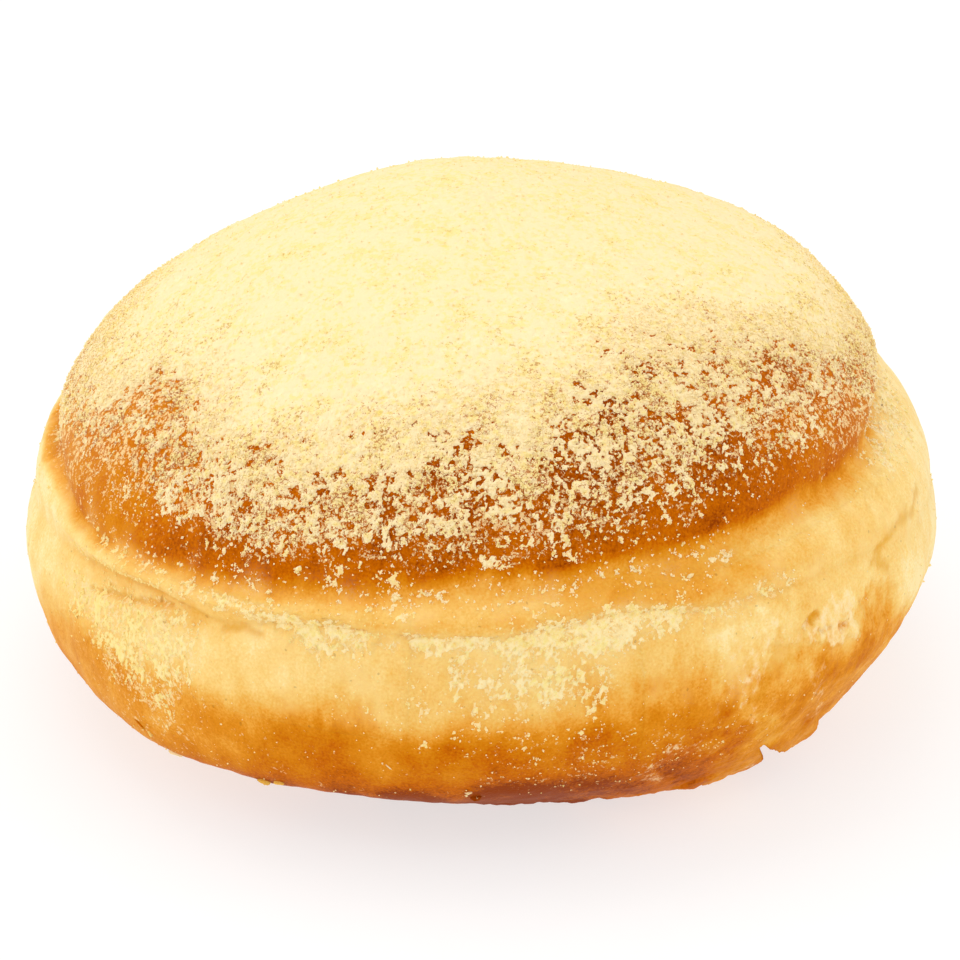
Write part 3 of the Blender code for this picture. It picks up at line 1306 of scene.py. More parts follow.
    def __post_init__(self) -> None:
        """Finds how far the outline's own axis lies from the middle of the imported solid."""
        rows = np.linspace(0.0, self.outline.top, self.AXIS_ROWS)
        turns = np.linspace(-180.0, 180.0, self.AXIS_COLUMNS, endpoint=False)
        points = self.outline.points(Places(*crossed(rows, turns)))
        low, high = (np.array(corner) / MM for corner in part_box(NODE))
        middle = (low + high - points.min(axis=0) - points.max(axis=0)) / 2.0
        self.shift = np.array([middle[0], middle[1], 0.0])

    def relief(self, places: Places, cover: Array | None = None) -> Array:
        """How far the dough stands out of the smooth outline.

        Args:
            places: where to measure it.
            cover: the share of the crust that powder hides there; the dough lies lower under it.

        Returns:
            The distance out at each place.
        """
        points = self.outline.points(places)
        above = places.run - self.fold.at(places)
        groove = np.where(above > 0, self.GROOVE_ABOVE, self.GROOVE_BELOW)
        relief = -self.fold_depth.at(places) * np.exp(-np.abs(above) / groove)
        relief += self.lip.at(places) * self.LIP_BAND.at(above)
        relief -= self.waist_depth.at(places) * self.WAIST_BAND.at(places.run - self.crown_edge.at(places))
        relief += self.swell.at(places) * self.SWELL_BAND.at(places.run)
        relief += sum(mark.rise(places) for mark in self.marks)
        relief += self.CRUMPLED.at(places.wall()) * self.crumple.share(places, self.CRUMPLE_EDGE)
        relief += self.BROAD_DENTS.at(points)
        relief += self.SIDE_DENTS.at(places.wall(1.2))
        wrinkled = self.WRINKLE_LEAST + ease(places.run, *self.WRINKLED_RUNS)
        relief += self.WRINKLE_HEIGHT * wrinkled * self.WRINKLES.at(places.wall(1.2))
        relief += self.ROUGH_KEEL.at(points) * ease(places.run, *self.ROUGH_RUNS)
        if cover is not None:
            relief -= self.powder_bed * np.clip(cover, 0.0, 1.0)
        return relief * np.clip(places.run / self.CALM_FOOT, 0.0, 1.0)

    def skin(self, places: Places, height: Array) -> Array:
        """Finds points over the smooth outline.

        Args:
            places: where they lie.
            height: how far each stands out.

        Returns:
            Rows of x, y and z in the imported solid's frame, none of them below the foot.
        """
        points = self.outline.points(places) + self.outline.normals(places) * height[:, None]
        points[:, 2] = np.maximum(points[:, 2], 0.0)
        return points + self.shift

    def toast(self, places: Places, powder_share: Array) -> Array:
        """How browned the dough is; it is darkest among powder, and darker near the foot, partly as painted
        shade under the bun.

        Args:
            places: where to look.
            powder_share: the share of the crust that powder hides there.

        Returns:
            A share at each place, from 0, pale, to 1, nearly burnt.
        """
        points = self.outline.points(places)
        wander = self.BROAD_WANDER.at(points)
        wander += self.FINE_WANDER.at(places.wall(1.2))
        crown = places.run - self.crown_edge.at(places) + self.CROWN_WANDER * wander
        below = self.belly_edge.at(places) - places.run + wander
        above = places.run - self.fold.at(places)
        toast = self.lip_toast.at(places)
        toast += (self.ring_toast.at(places) - toast) * ease(above, *self.RING_FADE)
        toast += (self.HALO_TOAST - toast) * ease(crown, *self.HALO_FADE)
        crown_toast = self.crown_toast.at(places) + self.CROWN_CLOUDS.at(points)
        toast += (crown_toast - toast) * ease(crown, *self.CROWN_FADE)
        belly_toast = self.belly_toast.at(places) + self.BELLY_CLOUDS.at(places.wall(1.3))
        toast += (belly_toast - toast) * ease(below, *self.BELLY_FADE)
        powdered = ease(powder_share, *self.POWDERED_SHARES) * ease(crown, *self.POWDERED_FADE)
        toast += self.POWDERED_TOAST * powdered
        # Partly painted shade: darker near the foot.
        toast += self.rim_toast.at(places) * ease(places.run, *self.RIM_RUNS)
        toast += self.CRUMPLE_CLOUDS.at(places.wall()) * self.crumple.share(places, self.CRUMPLE_EDGE)
        toast += self.RING_CLOUDS.at(places.wall(1.1)) * ease(places.run, *self.RING_RUNS)
        return toast + sum(mark.toast * mark.share(places) for mark in self.marks if mark.toast)

    def gold(self, places: Places) -> Array:
        """How much deep gold shows: partly the dough's own tone, partly painted shade in the creases, pockets
        and under lips.

        Args:
            places: where to look.

        Returns:
            A share at each place.
        """
        above = places.run - self.fold.at(places)
        # Painted shade: the gold line along the fold grows with the fold's depth.
        damp = np.clip(self.fold_depth.at(places) / self.DAMP_DEPTH, 0.0, 1.0)
        line = self.DAMP_FOLD * (damp * bump(above / self.DAMP_HALF_WIDTH))
        marks = [mark.gold * mark.share(places) for mark in self.marks if mark.gold]
        return np.maximum.reduce([line, *marks])

    def torn(self, places: Places) -> Array:
        """How much whitish torn or stretched skin shows.

        Args:
            places: where to look.

        Returns:
            A share at each place.
        """
        streaks = ease(self.STREAKS.at(places.wall(2.2)), *self.STREAK_FADE) * self.STREAKED.at(places)
        marks = [mark.skin * mark.share(places) for mark in self.marks if mark.skin]
        return np.maximum.reduce([self.STREAK_SKIN * streaks, *marks])

    def painted(self, places: Places, powder: "Sifting") -> dict[str, Array]:
        """What the crust's finish needs to know.

        Args:
            places: where its vertices lie.
            powder: the powder that lies on it.

        Returns:
            Each painted value by its name.
        """
        return {
            "toast": self.toast(places, powder.share(places)),
            "gold": self.gold(places),
            "skin": self.torn(places),
            "dust": powder.dust(places),
            "haze": powder.haze(places),
        }

    def rows(self) -> Array:
        """Sets the rings of vertices, closest together round the fold.

        Returns:
            Their runs, from the foot up.
        """
        fine = np.linspace(0.0, self.outline.top, self.FINE_STEPS)
        spacing = self.wide_row + (self.fold_row - self.wide_row) * self.FOLD_ROWS.at(fine)
        spacing += (self.hidden_row - self.wide_row) * ease(fine, *self.HIDDEN_RUNS)
        foot = -self.outline.foot * np.linspace(*self.FOOT_SHARES, self.FOOT_RINGS)
        return np.concatenate([foot, spread(fine, spacing, with_end=True)[:-1]])

    def columns(self) -> Array:
        """Sets the columns of vertices, closest together at the front.

        Returns:
            Their azimuths.
        """
        fine = np.linspace(FRONT - 180.0, FRONT + 180.0, self.FINE_STEPS)
        front = ease(np.abs(fine - FRONT), *self.FRONT_TURNS)
        width = self.back_column + (self.front_column - self.back_column) * front
        return spread(fine, np.degrees(width / SIDE_RADIUS), with_end=False)

    def corners(self, faces: Array, run: Array, azimuth: Array) -> Array:
        """The bake map: the crown and the foot as discs, the side as two strips.

        Args:
            faces: the faces, as rows of vertex numbers.
            run: each vertex's run.
            azimuth: each vertex's azimuth.

        Returns:
            The place of each face's corners on the map.
        """
        (low, high), margin, strip = self.MAP_RUNS, self.MAP_MARGIN, self.MAP_STRIP
        middle_run = run[faces].mean(axis=1)
        turn = np.radians(azimuth[faces])
        centre = np.arctan2(np.sin(turn).sum(axis=1), np.cos(turn).sum(axis=1))
        unrolled = centre[:, None] + (turn - centre[:, None] + math.pi) % math.tau - math.pi
        behind = (centre > 0.0)[:, None]
        across = margin + (1.0 - 2 * margin) * (unrolled + np.where(behind, 0.0, math.pi)) / math.pi
        up = (run[faces] - low) / (high - low) * (strip - 2 * margin)
        up = up + np.where(behind, 2, 3) * strip + margin
        corners = np.stack([across, up], axis=-1)
        for which, away, reach, place in (
            (middle_run > high, self.outline.top - run, self.outline.top - high, strip),
            (middle_run < low, self.outline.foot + run, self.outline.foot + low, 3 * strip),
        ):
            radius = away[faces[which]] / reach * (strip - margin)
            disc = np.stack([np.cos(turn[which]) * radius, np.sin(turn[which]) * radius], axis=-1)
            corners[which] = disc + (place, strip)
        return corners

    def build(self, material: Material, powder: "Sifting") -> Piece:
        """Makes the bun of dough.

        Args:
            material: the crust's material.
            powder: the powder that lies on it.

        Returns:
            The bun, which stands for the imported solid.
        """
        rows, columns = self.rows(), self.columns()
        run, azimuth = crossed(rows, columns)
        run = np.concatenate([run, [self.outline.top, -self.outline.foot]])
        azimuth = np.concatenate([azimuth, [0.0, 0.0]])
        places = Places(run, azimuth)
        relief = self.relief(places, powder.share(places))
        for window in self.windows:
            relief -= self.sunk * ease(window.inside(places), *window.SINKS)
        across, beside = np.arange(len(columns)), (np.arange(len(columns)) + 1) % len(columns)
        lower = (np.arange(len(rows) - 1) * len(columns))[:, None]
        upper = lower + len(columns)
        quads = np.stack([lower + across, lower + beside, upper + beside, upper + across], axis=-1)
        top, foot = len(run) - 2, len(run) - 1
        last = (len(rows) - 1) * len(columns)
        crown_fan = np.stack([last + across, last + beside, np.full_like(across, top)], axis=-1)
        foot_fan = np.stack([beside, across, np.full_like(across, foot)], axis=-1)
        faces = [quads.reshape(-1, 4), crown_fan, foot_fan]
        corners = np.concatenate([self.corners(block, run, azimuth).reshape(-1, 2) for block in faces])
        sheet = Sheet(self.skin(places, relief), faces, self.painted(places, powder), corners)
        piece = sheet.build("bun_dough", material, Slot.CRUST)
        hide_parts(NODE)
        return piece

    def build_window(self, window: Window, material: Material, powder: "Sifting") -> Piece:
        """Makes the finer mesh of one window, whose border dips under the rest of the dough.

        Args:
            window: the window.
            material: the crust's material.
            powder: the powder that lies on it.

        Returns:
            The finer piece of crust.
        """
        across = np.arange(-window.half_length, window.half_length + self.fine, self.fine)
        along = np.arange(-window.half_height, window.half_height + self.fine, self.fine)
        aside, up = crossed(across, along)
        places = Places(window.run + up, window.azimuth + np.degrees(aside / SIDE_RADIUS))
        lift = window.PROUD - window.DIP * ease(window.inside(places), *window.DIPS)
        points = self.skin(places, self.relief(places, powder.share(places)) + lift)
        on_map = np.stack([aside / window.half_length, up / window.half_height], axis=1)
        faces = grid_faces(len(across), len(along))
        corners = (on_map * window.MAP_HALF + 0.5)[faces].reshape(-1, 2)
        sheet = Sheet(points, [faces], self.painted(places, powder), corners)
        return sheet.build(window.name, material, Slot.CRUST)


@dataclass(frozen=True)
class Crumb:
    """A bit of crust that hangs on the bun: its place, its three half sizes and its colour."""

    azimuth: float
    run: float
    sizes: tuple[float, float, float]
    slant: float = 0.0
    toast: float = 0.2
    gold: float = 0.0
    skin: float = 0.0

    ROUND, UP = 14, 9
    BALL_PLACE = 5.0

    def body(self, seed: int) -> Array:
        """Shapes the crumb round its own middle.

        Args:
            seed: another seed gives other knobs.

        Returns:
            Rows of how far each point lies along the crumb, across it and out of the bun.
        """
        rises = np.linspace(-math.pi / 2, math.pi / 2, self.UP)
        turns = np.linspace(0.0, math.tau, self.ROUND, endpoint=False)
        turn, rise = crossed(turns, rises)
        ball = np.stack([np.cos(rise) * np.cos(turn), np.cos(rise) * np.sin(turn), np.sin(rise)], axis=1)
        knobs = Hills(1.1, seed, octaves=3, keep=0.6, height=0.3).at(ball + self.BALL_PLACE)
        points = ball * np.array(self.sizes) * (1.0 + knobs)[:, None]
        slant = math.radians(self.slant)
        along, across = points[:, 0].copy(), points[:, 1].copy()
        points[:, 0] = along * math.cos(slant) - across * math.sin(slant)
        points[:, 1] = along * math.sin(slant) + across * math.cos(slant)
        return points

    @classmethod
    def faces(cls) -> Array:
        """The faces between the crumb's points, which close round it."""
        return grid_faces(cls.ROUND + 1, cls.UP) % (cls.ROUND * cls.UP)


@dataclass
class Crumbs:
    """The bits of crust that hang on the bun's lower edge, as one mesh."""

    dough: Dough
    crumbs: tuple[Crumb, ...] = (
        Crumb(-119.6, 17.0, (0.65, 0.38, 0.4), slant=-40.0, toast=0.3, gold=0.5),
        Crumb(-117.0, 17.8, (0.5, 0.2, 0.25), toast=0.3, gold=0.4),
        Crumb(-134.6, 16.6, (0.85, 0.22, 0.3), slant=-12.0, skin=0.8),
        Crumb(-136.0, 19.6, (0.38, 0.34, 0.2), toast=0.2, gold=0.3),
        Crumb(-137.6, 20.2, (0.6, 0.2, 0.10), slant=-35.0, toast=0.8),
        Crumb(-91.0, 17.2, (0.45, 0.3, 0.4), toast=1.1),
        Crumb(-92.0, 18.8, (0.35, 0.1, 0.2), slant=20.0, skin=0.9),
        Crumb(-101.5, 22.3, (0.4, 0.07, 0.1), slant=-50.0, skin=0.9),
        Crumb(-63.0, 38.0, (0.35, 0.2, 0.2), slant=15.0, toast=0.1, skin=0.6),
    )

    FIRST_SEED = 80

    def build(self, material: Material) -> Piece:
        """Makes the crumbs.

        Args:
            material: the crust's material.

        Returns:
            The crumbs, as one piece.
        """
        azimuth = np.array([crumb.azimuth for crumb in self.crumbs])
        places = Places(np.array([crumb.run for crumb in self.crumbs]), azimuth)
        centres = self.dough.skin(places, self.dough.relief(places))
        out = self.dough.outline.normals(places)
        turn = np.radians(azimuth)
        along = np.stack([-np.sin(turn), np.cos(turn), np.zeros_like(turn)], axis=1)
        across = np.cross(out, along)
        points, faces, finish = [], [], []
        for index, crumb in enumerate(self.crumbs):
            body = crumb.body(self.FIRST_SEED + index)
            points.append(centres[index] + body @ np.stack([along[index], across[index], out[index]]))
            faces.append(crumb.faces() + index * len(body))
            finish.append(np.tile((crumb.toast, crumb.gold, crumb.skin, 0.0, 0.0), (len(body), 1)))
        painted = dict(zip(("toast", "gold", "skin", "dust", "haze"), np.concatenate(finish).T))
        points = np.concatenate(points)
        points[:, 2] = np.maximum(points[:, 2], 0.0)
        return Sheet(points, faces, painted).build("crust_crumbs", material, Slot.CRUST)


# The powder --------------------------------------------------------------------------------


@dataclass(frozen=True)
class Dusting:
    """The finest powder on one part of the bun, too fine for a mesh: how thick it is, and where."""

    thickness: float
    where: Area | Sector

    def at(self, places: Places) -> Array:
        """How thick it is at each place."""
        return self.thickness * self.where.at(places)


@dataclass(frozen=True)
class Drift:
    """Powder that slid down and lies on the bun's side."""

    patch: Patch
    share: float
    soft: float = 0.5

    def at(self, places: Places) -> Array:
        """The share of the crust that it hides at each place."""
        return self.share * self.patch.share(places, self.soft)


DRIFTS = (
    Drift(
        Patch(
            ((-172, 43.0), (-171.5, 41.4), (-176, 40.2), (-184, 40.6), (-190, 42.4), (-184, 44.4)),
            ragged=0.8,
        ),
        share=0.50, soft=1.6,
    ),
    Drift(
        Patch(
            ((-154.5, 29.0), (-146, 30.2), (-137, 31.0), (-131, 31.4), (-126.5, 29.6), (-128, 26.6),
             (-133, 23.8), (-140, 25.0), (-144, 26.8), (-151, 27.4)),
            ragged=0.7,
        ),
        share=0.76, soft=2.4,
    ),
    Drift(
        Patch(
            ((-146, 28.5), (-130, 29.5), (-127.5, 26.0), (-132, 22.4), (-140, 23.8), (-148, 26.4)),
            ragged=0.9,
        ),
        share=0.50, soft=1.8,
    ),
    Drift(
        Patch(
            ((-156, 33.4), (-148, 33.8), (-136, 35.4), (-128, 35.6), (-127, 34.0), (-134, 33.4),
             (-143, 32.6), (-155, 32.2)),
            ragged=0.4,
        ),
        share=0.34, soft=0.7,
    ),
    Drift(
        Patch(
            ((-131, 38.0), (-125, 37.4), (-118, 37.0), (-112, 35.4), (-107.5, 34.9), (-104.4, 34.8),
             (-104.4, 31.1), (-110, 30.9), (-114.5, 31.9), (-120, 33.4), (-126, 34.4), (-131, 36.0)),
            ragged=0.5,
        ),
        share=0.55, soft=1.0,
    ),
    Drift(
        Patch(
            ((-119, 35.6), (-110, 35.0), (-104.6, 34.8), (-104.4, 31.4), (-110, 31.2), (-118, 33.0)),
            ragged=0.6,
        ),
        share=0.88, soft=0.8,
    ),
    Drift(Patch(((-103, 33.4), (-100.5, 33.4), (-100.4, 32.0), (-103, 31.8)), ragged=0.3), share=0.6),
    Drift(
        Patch(
            ((-99.8, 34.3), (-94, 33.6), (-88.5, 33.4), (-85, 34.8), (-79.5, 35.6), (-75, 36.0),
             (-69.5, 35.6), (-63, 34.2), (-63, 33.0), (-68.5, 32.2), (-74, 31.0), (-80, 31.4), (-88, 31.8),
             (-94, 31.6), (-98.5, 31.8)),
            ragged=0.35,
        ),
        share=0.90, soft=0.8,
    ),
    Drift(
        Patch(((-96, 32.0), (-86, 31.4), (-75, 30.8), (-77, 28.0), (-86, 28.2), (-94, 29.6)), ragged=0.8),
        share=0.52, soft=1.2,
    ),
    Drift(
        Patch(
            ((-63.5, 34.2), (-59, 33.8), (-54, 34.8), (-48, 34.4), (-49.5, 33.2), (-55, 32.8), (-62, 32.2)),
            ragged=0.4,
        ),
        share=0.60, soft=0.8,
    ),
    Drift(Patch(((-60, 38.2), (-57, 39.5), (-54.6, 39.0), (-57, 37.8)), ragged=0.4), share=0.7),
    Drift(Patch(((-51, 52.0), (-46.5, 52.0), (-46, 48.2), (-50, 47.4)), ragged=0.8), share=0.84, soft=1.0),
    Drift(Patch(((-59, 57.0), (-54, 57.0), (-53, 53.4), (-58, 53.0)), ragged=0.8), share=0.93, soft=1.0),
    Drift(Patch(((-82, 49.2), (-78, 49.2), (-78, 46.8), (-82, 46.8)), ragged=0.6), share=0.74, soft=0.8),
    Drift(
        Patch(((-110, 31.0), (-94, 31.0), (-76, 29.0), (-82, 24.4), (-106, 26.4)), ragged=1.0),
        share=0.16, soft=2.2,
    ),
    Drift(Patch(((-124, 41.0), (-54, 41.0), (-60, 36.5), (-120, 36.0)), ragged=1.0), share=0.15, soft=2.0),
    Drift(Patch(((-150, 39.0), (-124, 40.0), (-124, 36.0), (-146, 35.0)), ragged=1.0), share=0.26, soft=1.8),
    Drift(
        Patch(((-92, 27.0), (-60, 29.0), (-50, 22.0), (-60, 15.0), (-84, 17.0)), ragged=1.0),
        share=0.035, soft=3.0,
    ),
    Drift(Patch(((-65, 26.4), (-58, 26.2), (-55, 18.3), (-64, 20.5)), ragged=0.6), share=0.06, soft=1.0),
    Drift(
        Patch(((-24, 39.4), (-12, 41.2), (-2, 42.0), (2, 38.0), (-10, 36.4), (-22, 37.0)), ragged=1.0),
        share=0.46, soft=1.8,
    ),
)


@dataclass
class Sifting:
    """Where powder lies on the bun, and how thick.

    Three lines round the bun say how the cover thins out down the crown: where it is nearly whole,
    where it hides half of the crust, and where its last clumps lie. All are runs.
    """

    dough: Dough
    thickness: float = 0.26
    drift_thickness: float = 0.18
    whole: RoundLine = RoundLine(
        ((-170, 49.5), (-156, 54.0), (-144, 55.0), (-128, 51.0), (-112, 53.5), (-96, 56.5), (-80, 59.0),
         (-64, 62.5), (-48, 66.0), (-34, 62.5), (-22, 57.0), (-8, 52.0), (10, 51.0), (60, 53.0),
         (120, 51.5)),
        blur=4.0,
    )
    half: RoundLine = RoundLine(
        ((-170, 43.6), (-160, 46.0), (-151, 49.4), (-143, 48.8), (-134, 45.0), (-120, 44.4), (-108, 46.6),
         (-96, 47.4), (-86, 47.4), (-74, 50.4), (-56, 48.6), (-48, 49.8), (-40, 51.8), (-30, 48.4),
         (-22, 49.2), (-14, 46.4), (-4, 42.0), (20, 43.0), (60, 45.0), (120, 44.5)),
        blur=4.0,
    )
    last: RoundLine = RoundLine(
        ((-170, 40.5), (-150, 42.0), (-134, 40.4), (-110, 39.6), (-88, 39.6), (-72, 40.6), (-56, 42.4),
         (-40, 43.6), (-26, 43.8), (-14, 40.0), (0, 38.0), (20, 40.0), (60, 41.0), (120, 41.0)),
        blur=4.0,
    )
    bare: Drift = Drift(
        Patch(((-158, 53), (-148, 52.8), (-145, 48.8), (-156, 47.8)), ragged=0.6),
        share=0.55, soft=1.8,
    )
    drifts: tuple[Drift, ...] = DRIFTS

    # The share of the crust that is hidden. It grows between the lines, most steeply at the middle one.
    LOWER_BEND, UPPER_BEND = 1.1, 1.6
    LOWER_SHARE, UPPER_SHARE, THICK_SHARE = 0.5, 0.47, 0.36
    THICK_RUN = 16.0
    PATCHES = Hills(7.0, 41, octaves=2, height=0.08)
    PATCHY, PATCHY_END = 4.0, 1.1

    # Haze and specks of dust on the bare crust. A pair of numbers is where something begins and ends.
    HAZES = (
        Dusting(0.09, Sector(-168.0, turn_fade=13.0, runs=(36.0, 41.0))),
        Dusting(0.036, Sector(-14.0, turn_fade=14.0, runs=(40.0, 43.0))),
        Dusting(0.02, Area(-146.0, 22.0, turn_fade=18.0, run_fade=6.0)),
    )
    DRIFT_HAZE, DRIFT_HAZE_LOW, DRIFT_HAZE_HIGH = 0.35, (25.0, 30.0), (40.5, 38.5)
    CLOUDS = Hills(4.0, 43, octaves=2)
    CLOUD_HAZE, CLOUD_EDGE, CLOUDS_LOW, CLOUDS_HIGH = 0.22, (0.2, 1.6), (25.0, 28.0), (42.0, 40.0)
    DUSTED_SIDES = (
        Dusting(0.38, Sector(-166.0, turn_fade=30.0, runs=(37.0, 41.0))),
        Dusting(0.38, Sector(-24.0, turn_fade=16.0, runs=(39.0, 43.0))),
    )
    DUSTINGS = (
        Dusting(0.20, Area(-140.0, 26.0, turn_fade=12.0, run_fade=5.0)),
        Dusting(0.16, Area(-90.0, 43.5, turn_fade=50.0, run_fade=3.0)),
        Dusting(0.22, Area(-74.0, 22.0, turn_fade=22.0, run_fade=5.0)),
        Dusting(0.22, Area(-132.0, 19.0, turn_fade=24.0, run_fade=6.0)),
    )
    POWDER_DUST, POWDER_DUST_SHARE, MOST_DUST = 0.38, 0.45, 0.45

    # Damp powder.
    DAMP_LEFT, DAMP_TURN_FADE, DAMP_RUNS = -150.0, 24.0, (40.0, 36.0)
    DAMP_ROUND, DAMP_MORE = 0.3, 0.6

    # The clumps, from coarse to fine, and how high the powder stands.
    CLUMPS = (
        Hills(2.8, 51, octaves=2, keep=0.6, height=0.40),
        Hills(1.1, 52, height=0.46),
        Hills(0.55, 53, height=0.58),
        Hills(0.34, 54, height=0.56),
    )
    CLUMP_CONTRAST = 2.5
    GRIT = Grit(0.44, 61)
    FINE_ROUGHNESS = Hills(0.6, 62, octaves=2, height=0.02)
    SIDE_RUNS = (40.0, 38.0)
    THIN_EDGE, THIN_SHARES = 0.03, (1.0, 0.8)
    PILING, SINKING = 2.4, 1.6
    ROUGHNESS, SIDE_SMOOTHER, THICK_SMOOTHER, THICK_SHARES = 0.08, 0.02, 0.035, (1.0, 1.3)
    GRIT_MIDDLE, EDGE_STEEPNESS, EDGE_ROUGHNESS = 0.6, 6.0, 0.3

    def share(self, places: Places) -> Array:
        """How much of the crust the powder hides.

        Args:
            places: where to look.

        Returns:
            The share hidden at each place, above 1 where the powder lies thick.
        """
        last, half, whole = (line.at(places) for line in (self.last, self.half, self.whole))
        lower = np.clip((places.run - last) / (half - last), 0.0, 1.0) ** self.LOWER_BEND
        upper = 1.0 - (1.0 - np.clip((places.run - half) / (whole - half), 0.0, 1.0)) ** self.UPPER_BEND
        thick = np.clip((places.run - whole) / self.THICK_RUN, 0.0, 1.0)
        share = self.LOWER_SHARE * lower + self.UPPER_SHARE * upper + self.THICK_SHARE * thick
        patches = self.PATCHES.at(self.dough.outline.points(places))
        share += patches * np.clip(self.PATCHY * share * (self.PATCHY_END - share), 0.0, 1.0)
        share -= self.bare.at(places) * np.clip(share, 0.0, 1.0)
        return np.maximum.reduce([np.zeros_like(share), share, *(drift.at(places) for drift in self.drifts)])

    def haze(self, places: Places) -> Array:
        """How thick the finest dust hangs on the crust, as a whitish haze; it surrounds the drifts.

        Args:
            places: where to look.

        Returns:
            A share at each place.
        """
        drifted = np.maximum.reduce([drift.at(places) for drift in self.drifts])
        drifted *= ease(places.run, *self.DRIFT_HAZE_LOW) * ease(places.run, *self.DRIFT_HAZE_HIGH)
        cloudy = ease(self.CLOUDS.at(places.wall()), *self.CLOUD_EDGE)
        cloudy *= ease(places.run, *self.CLOUDS_LOW) * ease(places.run, *self.CLOUDS_HIGH)
        hazes = sum(dusting.at(places) for dusting in self.HAZES)
        return hazes + self.DRIFT_HAZE * drifted + self.CLOUD_HAZE * cloudy

    def dust(self, places: Places) -> Array:
        """How much of the finest powder lies on the crust in specks.

        Args:
            places: where to look.

        Returns:
            A share at each place.
        """
        specks = np.maximum(*(dusting.at(places) for dusting in self.DUSTED_SIDES))
        specks += sum(dusting.at(places) for dusting in self.DUSTINGS)
        near_powder = ease(self.share(places), 0.0, self.POWDER_DUST_SHARE)
        return np.clip(specks + self.POWDER_DUST * near_powder, 0.0, self.MOST_DUST)

    def damp(self, places: Places) -> Array:
        """How far the powder has soaked up fat and turned yellow, most of all at the bun's left side."""
        left = bump(places.turned_from(self.DAMP_LEFT) / self.DAMP_TURN_FADE)
        return (self.DAMP_ROUND + self.DAMP_MORE * left) * ease(places.run, *self.DAMP_RUNS)

    def rank(self, points: Array) -> Array:
        """A number from 0 to 1 for each point, whose low values lie in ragged clumps."""
        mixed = sum(hills.at(points) for hills in self.CLUMPS)
        return 1.0 / (1.0 + np.exp(-self.CLUMP_CONTRAST * mixed))

    def height(self, places: Places) -> Array:
        """How high the powder stands over the dough.

        Args:
            places: where to look.

        Returns:
            The height at each place, below 0 where there is no powder.
        """
        points = self.dough.outline.points(places)
        share = self.share(places)
        excess = share - self.rank(points)
        side = ease(places.run, *self.SIDE_RUNS)
        thickness = self.thickness + (self.drift_thickness - self.thickness) * side
        excess -= self.THIN_EDGE * ease(share, *self.THIN_SHARES)
        piled = thickness * (1.0 - np.exp(-self.PILING * excess))
        height = np.where(excess > 0.0, piled, self.SINKING * excess)
        coarse = self.ROUGHNESS - self.SIDE_SMOOTHER * side
        coarse -= self.THICK_SMOOTHER * ease(share, *self.THICK_SHARES) * (1.0 - side)
        rough = coarse * (self.GRIT.at(points) - self.GRIT_MIDDLE) + self.FINE_ROUGHNESS.at(points)
        return height + rough * np.clip(excess * self.EDGE_STEEPNESS + self.EDGE_ROUGHNESS, 0.0, 1.0)


@dataclass
class PowderShell:
    """A layer of powder, cut away where it dips under the dough.

    It holds the powder between two shares of cover, and between two runs.
    """

    name: str
    sifting: Sifting
    spacing: float
    shares: Pair
    runs: Pair

    SLACK = 0.02
    DEEPEST = -0.12
    GAP_DEPTH, GAP_EDGE, GAP_SHARES = 0.7, (0.6, 0.1), (1.3, 0.9)
    SHADED_HEIGHTS = (0.10, 0.0)
    WHOLE_SHARE, OPEN_SPAN, OPEN_RUNS = 1.32, 0.64, (40.5, 44.0)
    MAP_SHARE = 1.02

    def painted(self, places: Places, height: Array, share: Array) -> dict[str, Array]:
        """What the powder's finish needs to know.

        Args:
            places: where the layer's vertices lie.
            height: how high the powder stands there.
            share: the share of the crust that it hides there.

        Returns:
            Each painted value by its name.
        """
        grit = self.sifting.GRIT.at(self.sifting.dough.outline.points(places))
        # Painted shade: strongest where the powder lies low and in the gaps between grains.
        gaps = ease(grit, *self.GAP_EDGE) * ease(share, *self.GAP_SHARES)
        opened = np.clip((self.WHOLE_SHARE - share) / self.OPEN_SPAN, 0.0, 1.0)
        return {
            "heap": np.clip(height / self.sifting.thickness, 0.0, 1.0),
            "hollow": self.GAP_DEPTH * np.maximum(ease(height, *self.SHADED_HEIGHTS), gaps),
            "damp": self.sifting.damp(places),
            "open": opened * ease(places.run, *self.OPEN_RUNS),
        }

    def build(self, material: Material) -> Piece:
        """Makes the layer.

        Args:
            material: the powder's material.

        Returns:
            The layer.
        """
        dough = self.sifting.dough
        top = dough.outline.top
        (least, most), (lowest, highest) = self.shares, self.runs
        reach = top - lowest
        line = np.arange(-reach, reach, self.spacing)
        flat = np.stack(crossed(line, line), axis=1)
        places = Places.on_flat_map(flat, top)
        numbers = np.full(len(flat), -1)
        within = np.flatnonzero((places.run > lowest) & (places.run < highest))
        share = self.sifting.share(places.chosen(within))
        wanted = (share > least - self.SLACK) & (share < most + self.SLACK)
        within, share = within[wanted], share[wanted]
        numbers[within] = np.arange(len(within))
        places, flat = places.chosen(within), flat[within]
        height = self.sifting.height(places)
        quads = numbers[grid_faces(len(line), len(line))]
        quads = quads[(quads >= 0).all(axis=1)]
        middle = share[quads].mean(axis=1)
        kept = (height[quads].max(axis=1) > -self.SLACK) & (middle > least) & (middle <= most)
        used, faces = np.unique(quads[kept], return_inverse=True)
        faces = faces.reshape(-1, 4)
        places, flat, height, share = places.chosen(used), flat[used], height[used], share[used]
        points = dough.skin(places, dough.relief(places, share) + np.maximum(height, self.DEEPEST))
        corners = (flat / (2 * self.MAP_SHARE * reach) + 0.5)[faces].reshape(-1, 2)
        sheet = Sheet(points, [faces], self.painted(places, height, share), corners)
        return sheet.build(self.name, material, Slot.POWDER)


